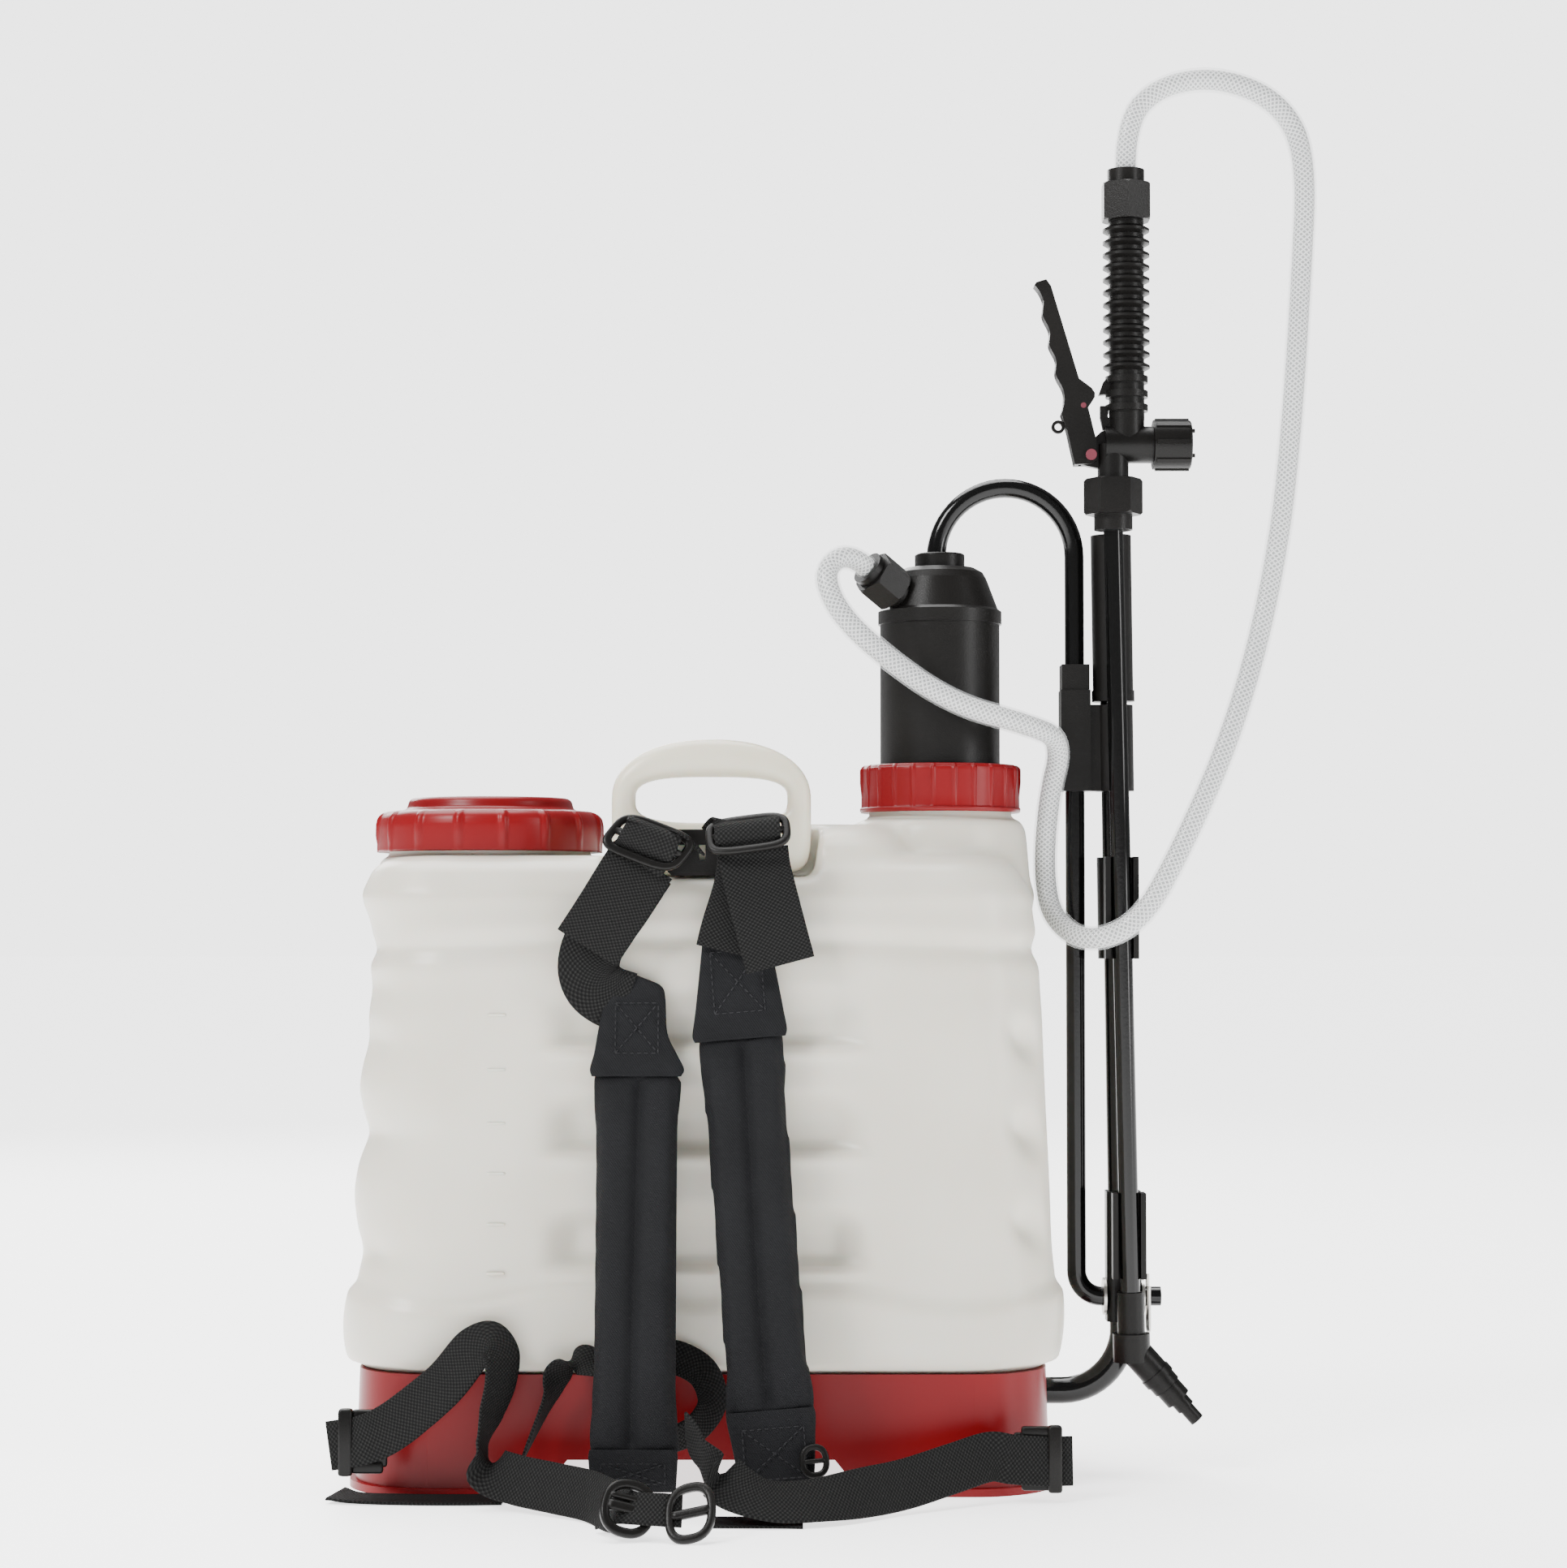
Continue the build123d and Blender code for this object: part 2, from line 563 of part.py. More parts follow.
def make_lance_handle():
    """Grip, valve barrel, trigger ear and threaded neck: one moulding."""
    pivot_x, pivot_z = TRIGGER_PIVOT
    handle = post(GRIP_CORE_R, GRIP_BOTTOM, GRIP_TOP, GRIP_X, LANCE_Y)
    for n in range(12):
        height = FIRST_RING + n * RING_STEP
        handle += spun(
            [
                (8, height - 2.4),
                (GRIP_CORE_R, height - 2.4),
                (GRIP_RING_R, height - 0.7),
                (GRIP_RING_R, height + 0.7),
                (GRIP_CORE_R, height + 2.4),
                (8, height + 2.4),
            ],
            GRIP_X,
            LANCE_Y,
        )
    for height in (574.5, 582.0, 590.0):
        handle += post(GRIP_RING_R - 1.2, height - 1.8, height + 1.8, GRIP_X, LANCE_Y)
    handle += bar(VALVE_R, VALVE_LEFT, VALVE_RIGHT, LANCE_Y, VALVE_Z)
    handle += post(VALVE_R - 0.5, VALVE_Z, GRIP_BOTTOM + 1, GRIP_X, LANCE_Y)
    handle += post(8.4, NUT_LOW + 12, VALVE_Z, LANCE_HEAD[0], LANCE_Y)
    ear = [(pivot_x - 5, pivot_z - 5), (VALVE_LEFT + 6, pivot_z - 9), (VALVE_LEFT + 6, VALVE_Z + 9)]
    ear += [(VALVE_LEFT - 2, VALVE_Z + 7), (pivot_x - 3, pivot_z + 5)]
    handle += plate(ear, LANCE_Y - EAR_HALF, LANCE_Y + EAR_HALF)
    strut = [(pivot_x + 4.5, pivot_z + 33), (pivot_x + 9, pivot_z + 33.5), (GRIP_X, pivot_z + 33.5)]
    strut += [(GRIP_X, pivot_z + 45), (pivot_x + 11, pivot_z + 44.5), (pivot_x + 7, pivot_z + 40)]
    handle += plate(strut, LANCE_Y - EAR_HALF, LANCE_Y + EAR_HALF)
    horn = [(VALVE_LEFT - 1, VALVE_Z + 8), (VALVE_LEFT - 2.5, VALVE_Z + 15), (VALVE_LEFT - 2.5, VALVE_Z + 21)]
    horn += [(VALVE_LEFT + 2, VALVE_Z + 21), (VALVE_LEFT + 1.5, VALVE_Z + 15), (VALVE_LEFT + 6, VALVE_Z + 11)]
    horn += [(VALVE_LEFT + 8, VALVE_Z + 6)]
    handle += plate(horn, LANCE_Y - EAR_HALF, LANCE_Y + EAR_HALF)
    handle -= post(FILTER_BORE_R, GRIP_BOTTOM + 4, GRIP_TOP + 1, GRIP_X, LANCE_Y)
    handle -= bar(VALVE_BORE_R, VALVE_LEFT + 4, VALVE_RIGHT + 1, LANCE_Y, VALVE_Z)
    handle -= bar(STEM_R + RUNNING, STEM_LEFT, VALVE_LEFT + 5, LANCE_Y, VALVE_Z)
    handle -= post(4, NUT_LOW + 10, VALVE_Z - 5, LANCE_HEAD[0], LANCE_Y)
    return handle - cross_bar(PIVOT_R + RUNNING, LANCE_Y - 5, LANCE_Y + 5, pivot_x, pivot_z)


FILTER_BORE_R = 6.5
STEM_R = 2.0
PIVOT_R = 2.0
TRIGGER_HALF = 5.6
CHANNEL_HALF = 3.0
STEM_LEFT = 201.2


def make_grip_filter():
    """The strainer tube inside the grip."""
    sleeve = post(FILTER_BORE_R - 0.3, GRIP_BOTTOM + 6, GRIP_TOP - 3, GRIP_X, LANCE_Y, bore=5.0)
    slots = []
    for n in range(7):
        height = GRIP_BOTTOM + 16 + n * 12
        slots += around(
            block((GRIP_X + 3, LANCE_Y - 1, height), (GRIP_X + 8, LANCE_Y + 1, height + 8)), 4, GRIP_X, LANCE_Y
        )
    return sleeve - slots


def make_valve_stem():
    stem = bar(STEM_R, STEM_LEFT, VALVE_LEFT + 6, LANCE_Y, VALVE_Z)
    return stem + bar(4.6, VALVE_LEFT + 6, VALVE_LEFT + 10, LANCE_Y, VALVE_Z)


def make_valve_spring():
    path = Helix(pitch=3.2, height=14, radius=3.6)
    coil = sweep(Plane(origin=path @ 0, z_dir=path % 0) * Circle(0.5), path=path)
    return Plane(origin=(VALVE_LEFT + 10.6, LANCE_Y, VALVE_Z), x_dir=(0, 1, 0), z_dir=(1, 0, 0)) * coil


def make_valve_cap():
    """The fluted bonnet that closes the valve barrel."""
    left, right = VALVE_RIGHT + 0.2, VALVE_RIGHT + 20.6
    cap = bar(13.4, left, right, LANCE_Y, VALVE_Z)
    cap = fillet(cap.edges().group_by(Axis.X)[-1], 1.5)
    flute = block((left + 1, LANCE_Y - 1.2, VALVE_Z + 12), (right - 1, LANCE_Y + 1.2, VALVE_Z + 14.2))
    nub = bar(1.1, right - 1, right + 1.6, LANCE_Y, VALVE_Z + 9.5)
    axle = Axis((0, LANCE_Y, VALVE_Z), (1, 0, 0))
    for n in range(8):
        cap += flute.rotate(axle, 45 * n)
        if n % 2:
            cap += nub.rotate(axle, 45 * n)
    return cap - bar(5, left - 1, left + 8, LANCE_Y, VALVE_Z)


def from_pivot(points):
    """Points measured from the trigger's pivot, in the row's X and Z."""
    return [(TRIGGER_PIVOT[0] + x, TRIGGER_PIVOT[1] + z) for x, z in points]


def make_trigger():
    """A channel-section lever: scalloped for the fingers, straight behind."""
    scallops = [(-30.4, 92.6), (-27.4, 88.7), (-25.5, 82.8), (-26, 76.9), (-22.1, 67.1), (-22.4, 60.2)]
    scallops += [(-18.7, 51.4), (-19.1, 45.1), (-14.7, 34.8), (-14.5, 29.4), (-16, 22.5)]
    behind = [(-12.8, 13.2), (-8.8, -5.2), (0.4, -4.9), (3.0, -2.5), (3.0, 7.5), (1.8, 12.2), (-1.5, 25.9)]
    behind += [(2.1, 31.3), (2.2, 33.8), (0.4, 36.5), (-6.4, 41.6), (-21.4, 92.1), (-24, 95.8), (-29.4, 94.1)]
    wavy = Spline(*from_pivot(scallops)).edge()
    straight = Polyline(*from_pivot([scallops[-1], *behind, scallops[0]])).edges()
    face = make_face([wavy, *straight])
    back = Plane(origin=(0, LANCE_Y + TRIGGER_HALF, 0), x_dir=(1, 0, 0), z_dir=(0, -1, 0))
    trigger = back * extrude(face, amount=2 * TRIGGER_HALF)
    channel = [(-19.5, 82), (-9.5, 30), (-9.5, 12), (-6, -8), (10, -8), (10, 46), (-3, 46)]
    channel += [(-16, 92), (-19.5, 92)]
    trigger -= plate(from_pivot(channel), LANCE_Y - CHANNEL_HALF, LANCE_Y + CHANNEL_HALF)
    slit = [(-20, 13), (-20, 22), (-8, 30), (-8, 18)]
    trigger -= plate(from_pivot(slit), LANCE_Y - 1.6, LANCE_Y + 1.6)
    pivot_x, pivot_z = TRIGGER_PIVOT
    trigger -= cross_bar(PIVOT_R, LANCE_Y - 8, LANCE_Y + 8, pivot_x, pivot_z)
    return trigger - cross_bar(1.5, LANCE_Y - 8, LANCE_Y + 8, pivot_x - 4, pivot_z + 27)


def make_trigger_pin():
    pivot_x, pivot_z = TRIGGER_PIVOT
    pin = cross_bar(PIVOT_R, LANCE_Y - TRIGGER_HALF, LANCE_Y + TRIGGER_HALF + 0.5, pivot_x, pivot_z)
    pin += cross_bar(3.0, LANCE_Y - TRIGGER_HALF - 1.5, LANCE_Y - TRIGGER_HALF, pivot_x, pivot_z)
    return pin


def make_trigger_lock():
    """The wire-like catch that holds the trigger open, with its pull ring."""
    middle = from_pivot([(-17.4, 15.8)])[0]
    ring = cross_bar(3.6, LANCE_Y - 1.1, LANCE_Y + 1.1, *middle, bore=1.9)
    arm = plate(from_pivot([(-15, 16), (-14, 18.9), (-4, 28.6), (-2.4, 26.6)]), LANCE_Y - 1.1, LANCE_Y + 1.1)
    hub = cross_bar(2.6, LANCE_Y - 2.4, LANCE_Y + 2.4, *from_pivot([(-4, 27)])[0])
    hole = cross_bar(1.5 + RUNNING, LANCE_Y - 3, LANCE_Y + 3, *from_pivot([(-4, 27)])[0])
    return ring + arm + hub - hole


def make_lock_pin():
    return cross_bar(1.5, LANCE_Y - TRIGGER_HALF, LANCE_Y + TRIGGER_HALF, *from_pivot([(-4, 27)])[0])


def make_lance_nut():
    x = LANCE_HEAD[0]
    nut = hexagon(32.0, NUT_LOW, NUT_HIGH, x, LANCE_Y, turn=0)
    nut += post(10.4, 508.2, NUT_LOW, x, LANCE_Y)
    nut -= post(8.6, NUT_LOW + 12, NUT_HIGH + 1, x, LANCE_Y)
    return nut - along_lance(LANCE_R + 0.2, 500, NUT_LOW + 14)


def make_upper_hose_nut():
    nut = hexagon(29.0, HOSE_NUT_LOW + 0.2, HOSE_NUT_HIGH, GRIP_X, LANCE_Y, turn=30)
    nut += post(10.1, HOSE_NUT_HIGH, HOSE_EXIT_Z, GRIP_X, LANCE_Y)
    return nut - post(4, HOSE_NUT_LOW, HOSE_EXIT_Z + 1, GRIP_X, LANCE_Y)


def make_lower_hose_nut():
    nut = hexagon(26.5, 0, PORT_NUT_END - PORT_NUT_START, turn=15)
    nut += post(9.6, PORT_NUT_END - PORT_NUT_START, PORT_COLLAR_END - PORT_NUT_START)
    nut -= post(8.7, -1, 6)
    nut -= post(4, 0, 40)
    return port_plane(PORT_NUT_START) * nut


# nozzle
FERRULE_TOP, FERRULE_BOTTOM = 97.0, 75.0
ELBOW_BOTTOM = 60.0
NOZZLE_TURN = 42.0


def make_ferrule():
    ferrule = along_lance(7.4, FERRULE_BOTTOM, FERRULE_TOP)
    return ferrule - along_lance(LANCE_R, LANCE_FOOT[1] - 14, FERRULE_TOP + 1)


def nozzle_plane(distance):
    """A plane across the angled nozzle's axis, which runs down and to the right."""
    way = Vector(sin(radians(NOZZLE_TURN)), 0, -cos(radians(NOZZLE_TURN)))
    start = Vector(lance_x(66) + 1.5, LANCE_Y, 66)
    return Plane(origin=start + way * distance, z_dir=way)


def nozzle_round(radius, start, end):
    return nozzle_plane(start) * extrude(Circle(radius), amount=end - start)


def make_elbow():
    elbow = along_lance(10.0, ELBOW_BOTTOM, FERRULE_BOTTOM)
    elbow += nozzle_round(8.2, 0, 16)
    return elbow - nozzle_round(2, 8, 17)


def make_nozzle_body():
    body = nozzle_round(8.8, 16, 20.5) + nozzle_round(8.0, 20.5, 26) + nozzle_round(4.6, 26, 30)
    return body - nozzle_round(2, 15, 31)


def make_nozzle_cap():
    cap = nozzle_round(7.2, 26.3, 35) + nozzle_round(5.0, 35, 41) + nozzle_round(3.9, 41, 50)
    cap -= nozzle_round(4.6 + RUNNING, 26, 30.2)
    return cap - nozzle_round(0.8, 30, 51)


# ---------- base ----------

DECK = 4.0
FOOT_HEIGHT = 4.0
WEB_X = (19.0, 24.0)
BUSH_R = 10.0


def skirt(grow):
    return RectangleRounded(2 * (BASE_HALF_WIDTH + grow), 2 * (BASE_HALF_DEPTH + grow), 40 + grow)


def base_solid(grow, bottom, top):
    flare = 2.0
    return loft([Pos(0, 0, bottom) * skirt(grow + flare), Pos(0, 0, top) * skirt(grow)])


def make_base():
    base = base_solid(0, 0, TANK_FLOOR)
    base += extrude(skirt(5), amount=FOOT_HEIGHT)
    base -= base_solid(-BASE_WALL, -0.01, TANK_FLOOR - DECK)
    arch = [(-ARCH_HALF_WIDTH, -1), (-ARCH_HALF_WIDTH + 16, ARCH_HEIGHT), (ARCH_HALF_WIDTH - 16, ARCH_HEIGHT)]
    base -= plate([*arch, (ARCH_HALF_WIDTH, -1)], -120, 120)
    left, right = WEB_X
    base += block((left, -26, SHAFT_Z - 18), (right, 26, TANK_FLOOR - DECK))
    base += bar(14, BASE_HALF_WIDTH - 14, BASE_HALF_WIDTH - 1, z=SHAFT_Z)
    base -= bar(BUSH_R, left - 1, right + 1, z=SHAFT_Z)
    base -= bar(BUSH_R, BASE_HALF_WIDTH - 15, BASE_HALF_WIDTH + 10, z=SHAFT_Z)
    for x in (-150, 150):
        for y in (-60, 60):
            base -= post(2.6, TANK_FLOOR - DECK - 1, TANK_FLOOR + 1, x, y)
    return base


def make_base_screws():
    screws = []
    for x in (-150, 150):
        for y in (-60, 60):
            screws.append(post(5, TANK_FLOOR - DECK - 3, TANK_FLOOR - DECK, x, y))
            screws.append(post(2.6, TANK_FLOOR - DECK, TANK_FLOOR, x, y))
    return Compound([screws[n] + screws[n + 1] for n in range(0, len(screws), 2)])


def make_shaft_bushes():
    outer = bar(BUSH_R, BASE_HALF_WIDTH - 14, BASE_HALF_WIDTH + 1.5, z=SHAFT_Z)
    outer += bar(BUSH_R + 2, BASE_HALF_WIDTH + 1.5, BASE_HALF_WIDTH + 3, z=SHAFT_Z)
    inner = bar(BUSH_R, *WEB_X, z=SHAFT_Z)
    shaft = bar(LEVER_R + RUNNING, 0, 300, z=SHAFT_Z)
    return Compound([outer - shaft, inner - shaft])


def make_shaft_clip():
    """The spring ring that keeps the lever's shaft in its bushes."""
    return bar(10.5, WEB_X[0] - 4.5, WEB_X[0] - 2, z=SHAFT_Z, bore=LEVER_R)


# ---------- carry handle ----------

HANDLE_MIDDLE_X = 4.5
HANDLE_WIDTH = 105.0
HANDLE_FRONT, HANDLE_BACK = -72.0, -53.0
HANDLE_FOOT, HANDLE_TOP = 319.3, 392.0
HANDLE_BAR_TOP = 348.0


def make_carry_handle():
    """A loop handle with a thick hand bar, standing in the tank's notch."""
    x, half = HANDLE_MIDDLE_X, HANDLE_WIDTH / 2
    outline = [
        Line((x - half, HANDLE_FOOT), (x - half, 362)).edge(),
        ThreePointArc((x - half, 362), (x - half + 13, 384), (x - 16, HANDLE_TOP)).edge(),
        Line((x - 16, HANDLE_TOP), (x + 16, HANDLE_TOP)).edge(),
        ThreePointArc((x + 16, HANDLE_TOP), (x + half - 13, 384), (x + half, 362)).edge(),
        Line((x + half, 362), (x + half, HANDLE_FOOT)).edge(),
        Line((x + half, HANDLE_FOOT), (x - half, HANDLE_FOOT)).edge(),
    ]
    back = Plane(origin=(0, HANDLE_BACK, 0), x_dir=(1, 0, 0), z_dir=(0, -1, 0))
    depth = HANDLE_BACK - HANDLE_FRONT
    handle = back * extrude(make_face(outline), amount=depth)
    hole = Pos(x, (HANDLE_BAR_TOP + 372) / 2) * RectangleRounded(80, 372 - HANDLE_BAR_TOP, 11.5)
    handle -= back * extrude(hole, amount=depth)
    for sx in (-36, 36):
        handle -= cross_bar(2.5, HANDLE_FRONT - 1, HANDLE_BACK + 1, x + sx, 330)
    return handle


def make_handle_screws():
    screws = []
    for sx in (-36, 36):
        x = HANDLE_MIDDLE_X + sx
        head = cross_bar(4.5, HANDLE_FRONT - 2.5, HANDLE_FRONT, x, 330)
        screws.append(head + cross_bar(2.5, HANDLE_FRONT, HANDLE_BACK, x, 330))
    return Compound(screws)


# ---------- straps ----------

ANCHOR_BACK = HANDLE_FRONT
ANCHOR_FRONT = -80.0


def make_strap_anchor():
    """The moulded yoke that both shoulder straps hang from."""
    yoke = block((-18, ANCHOR_FRONT, 320), (18, ANCHOR_BACK, 344))
    yoke = chamfer(yoke.edges().filter_by(Axis.Y), 2)
    for x in (-11, 0, 11):
        yoke -= block((x - 1.8, ANCHOR_FRONT - 1, 328), (x + 1.8, ANCHOR_BACK + 1, 336))
    return yoke


def make_triglide(x, z, lean, width=45.0, height=27.0, y=-107.0, thickness=3.5, bar_half=2.5):
    """A three-bar slide buckle facing the wearer."""
    frame = RectangleRounded(width, height, 4)
    slot_height = height / 2 - bar_half - 3.5
    for side in (-1, 1):
        frame -= Pos(0, side * (bar_half + slot_height / 2)) * Rectangle(width - 9, slot_height)
    front = Plane(origin=(0, y + thickness / 2, 0), x_dir=(1, 0, 0), z_dir=(0, -1, 0))
    return front * Pos(x, z) * Rot(0, 0, lean) * extrude(frame, amount=thickness)


def pad_plane(x, z, lean, y):
    """The face plane of a shoulder pad: it leans out at the foot and sideways. Its Y runs up the pad."""
    across = Vector(cos(radians(lean)), 0, sin(radians(lean)))
    up = Vector(-sin(radians(lean)), PAD_SLOPE, cos(radians(lean)))
    return Plane(origin=(x, y, z), x_dir=across, z_dir=across.cross(up))


PAD_SLOPE = 0.16
PAD_Y = -100.5
HEAD_LENGTH = 54.0


def make_pad(x, z, lean, length, tail):
    """A plain closed pad: a full-width body, a thin tapered head above it and a thin tail below."""
    half = PAD_WIDTH / 2
    body = Pos(0, -length / 2) * RectangleRounded(PAD_WIDTH, length, 3)
    head = [(-half, -1), (-half, 0), (-15, 22), (-15, HEAD_LENGTH)]
    head += [(15, HEAD_LENGTH), (15, 22), (half, 0), (half, -1)]
    patch = Pos(0, -length - tail / 2 + 0.5) * Rectangle(PAD_WIDTH - 8, tail + 1)
    solid = extrude(body, amount=PAD_THICKNESS / 2, both=True)
    solid += extrude(make_face(Polyline(*head, close=True)), amount=2, both=True)
    solid += extrude(patch, amount=2, both=True)
    return pad_plane(x, z, lean, PAD_Y) * solid


PAD_LEFT = (-34.0, 219.0, 0.0, 197.0, 15.0)
PAD_RIGHT = (20.0, 239.0, 4.8, 196.0, 33.0)
TRIGLIDE_LEFT = (-27.5, 334.0, -20.0)
TRIGLIDE_RIGHT = (24.0, 337.0, 7.0)


def make_strap(tail, loop, joint_block, link_block):
    """Shoulder webbing: hanging tail, loop down to the pad, and the turn through the buckle."""
    strap = plate(tail, -104, -102) + plate(loop, -100, -98)
    return strap + block(*joint_block) + block(*link_block)


def make_strap_left():
    tail = [(-45, 328), (-17, 320), (-45, 276), (-72, 289)]
    loop = [(-40, 322), (-20, 318), (-45, 274), (-36, 262), (-52, 249), (-69, 259), (-75, 270), (-72, 288)]
    return make_strap(tail, loop, ((-36, -104, 318), (-24, -98, 324)), ((-42, -100, 320), (-18, -78, 338)))


def make_strap_right():
    tail = [(9, 329), (45, 332), (57, 280), (26, 268)]
    loop = [(12, 326), (40, 328), (44, 296), (30, 292), (18, 296), (2, 290), (-2, 300), (10, 312)]
    return make_strap(tail, loop, ((18, -104, 322), (36, -98, 327)), ((18, -100, 322), (42, -78, 340)))


def wall(points, thickness, low, high):
    """Webbing standing on its edge along (x, y) points."""
    sketch = Sketch()
    for (x1, y1), (x2, y2) in zip(points, points[1:]):
        run = hypot(x2 - x1, y2 - y1)
        turn = degrees(atan2(y2 - y1, x2 - x1))
        sketch += Pos((x1 + x2) / 2, (y1 + y2) / 2) * Rot(0, 0, turn) * SlotCenterToCenter(run, thickness)
    return Pos(0, 0, low) * extrude(sketch, amount=high - low)


def make_lower_strap_left():
    """From the side hook up over a fold, down to the floor and along it to the left pad."""
    arch = [(-157, 42), (-112, 88), (-99, 78), (-94, 61), (-98, 20), (-111, 20), (-106, 61), (-111, 74)]
    arch += [(-143, 24), (-157, 18)]
    floor = wall([(-105, -109), (-97, -126), (-74, -148), (-46, -158)], 2, 2, 2 + NARROW_WEBBING)
    return plate(arch, -110, -108) + floor


def make_lower_strap_right():
    route = [(36, -192), (64, -197), (94, -174), (124, -138), (157, -110)]
    return wall(route, 2, 2, 2 + NARROW_WEBBING)


def make_side_hook(side, low, high):
    """The hook that fastens the lower webbing to a corner of the base."""
    x = side * 174
    hook = block((x - 16, -106, low), (x + 16, -101, high))
    hook = fillet(hook.edges().filter_by(Axis.Y), 3)
    hook -= block((x - side * 9 - 2.5, -107, low + 4), (x - side * 9 + 2.5, -100, high - 4))
    return hook + block((x + side * 6, -101, low + 6), (x + side * 12, -93, high - 6))


def loop_buckle(x, y, z, width, height, thickness, tilt, lean=0.0):
    """A moulded webbing buckle with a middle bar, tilted back from upright."""
    frame = RectangleRounded(width, height, min(width, height) * 0.28)
    slot_height = height / 2 - 5.5
    for side in (-1, 1):
        frame -= Pos(0, side * (2 + slot_height / 2)) * RectangleRounded(width - 8, slot_height, 1.5)
    buckle = extrude(frame, amount=thickness / 2, both=True)
    return Pos(x, y, z) * Rot(90 - tilt, 0, 0) * Rot(0, 0, lean) * buckle


def make_adjuster_left():
    return loop_buckle(-34, -214, 12.5, 22, 27, 4.5, 40, -20)


def make_adjuster_right():
    return make_triglide(63, 27, 0, 14, 18, y=-142)


def make_waist_strap():
    """Flat webbing on the floor between the waist buckle and the right pad."""
    return block((8, -184, 0.2), (52, -159, 1.8))


# ---------- hose ----------

# Route of the delivery hose, from the chamber's outlet to the grip. Its three stretches meet in the gap
# beside the pump and at the right of the top bend.
HOSE_LOWER = (
    (87.6, -27.4, 486.7),
    (77.0, -34.7, 494.7),
    (63.5, -41.0, 484.0),
    (70.5, -49.0, 462.0),
    (92.0, -51.5, 440.0),
    (131.0, -52.0, 412.0),
    (172.0, -47.0, 401.0),
    (193.0, -27.0, 394.0),
    (186.0, -9.0, 361.0),
    (185.0, -5.5, 338.0),
)
HOSE_MIDDLE = (
    (185.0, -5.5, 338.0),
    (184.25, -2.875, 320.75),
    (188.0, -14.0, 297.0),
    (205.0, -38.0, 284.0),
    (232.0, -44.0, 295.0),
    (252.0, -43.0, 329.0),
    (281.0, -40.0, 392.0),
    (303.0, -33.0, 465.0),
    (318.0, -26.0, 556.0),
    (325.5, -20.0, 676.0),
)
HOSE_UPPER = (
    (325.5, -20.0, 676.0),
    (328.0, -18.0, 716.0),
    (312.0, -17.5, 748.0),
    (278.0, -17.0, 762.0),
    (246.0, -17.0, 756.0),
    (229.0, -17.0, 731.0),
    (229.0, -17.0, 705.0),
)


def arc_radii(points):
    """The largest tangent arc that each corner's two runs allow."""
    radii = []
    for before, at, after in zip(points, points[1:], points[2:]):
        run_in, run_out = Vector(*at) - Vector(*before), Vector(*after) - Vector(*at)
        turn = run_in.get_angle(run_out)
        radii.append(0.45 * min(run_in.length, run_out.length) / tan(radians(turn / 2)))
    return radii


def make_hose(points, name):
    radii = arc_radii(points)
    path = FilletPolyline(*points, radius=radii).wire()
    hose = swept(path, HOSE_R)
    print(name, "length", round(path.length, 1), "radii", [round(r) for r in radii])
    print(name, "volume share", round(hose.volume / (pi * HOSE_R**2 * path.length), 3))
    return hose


# ---------- sub-parts ----------

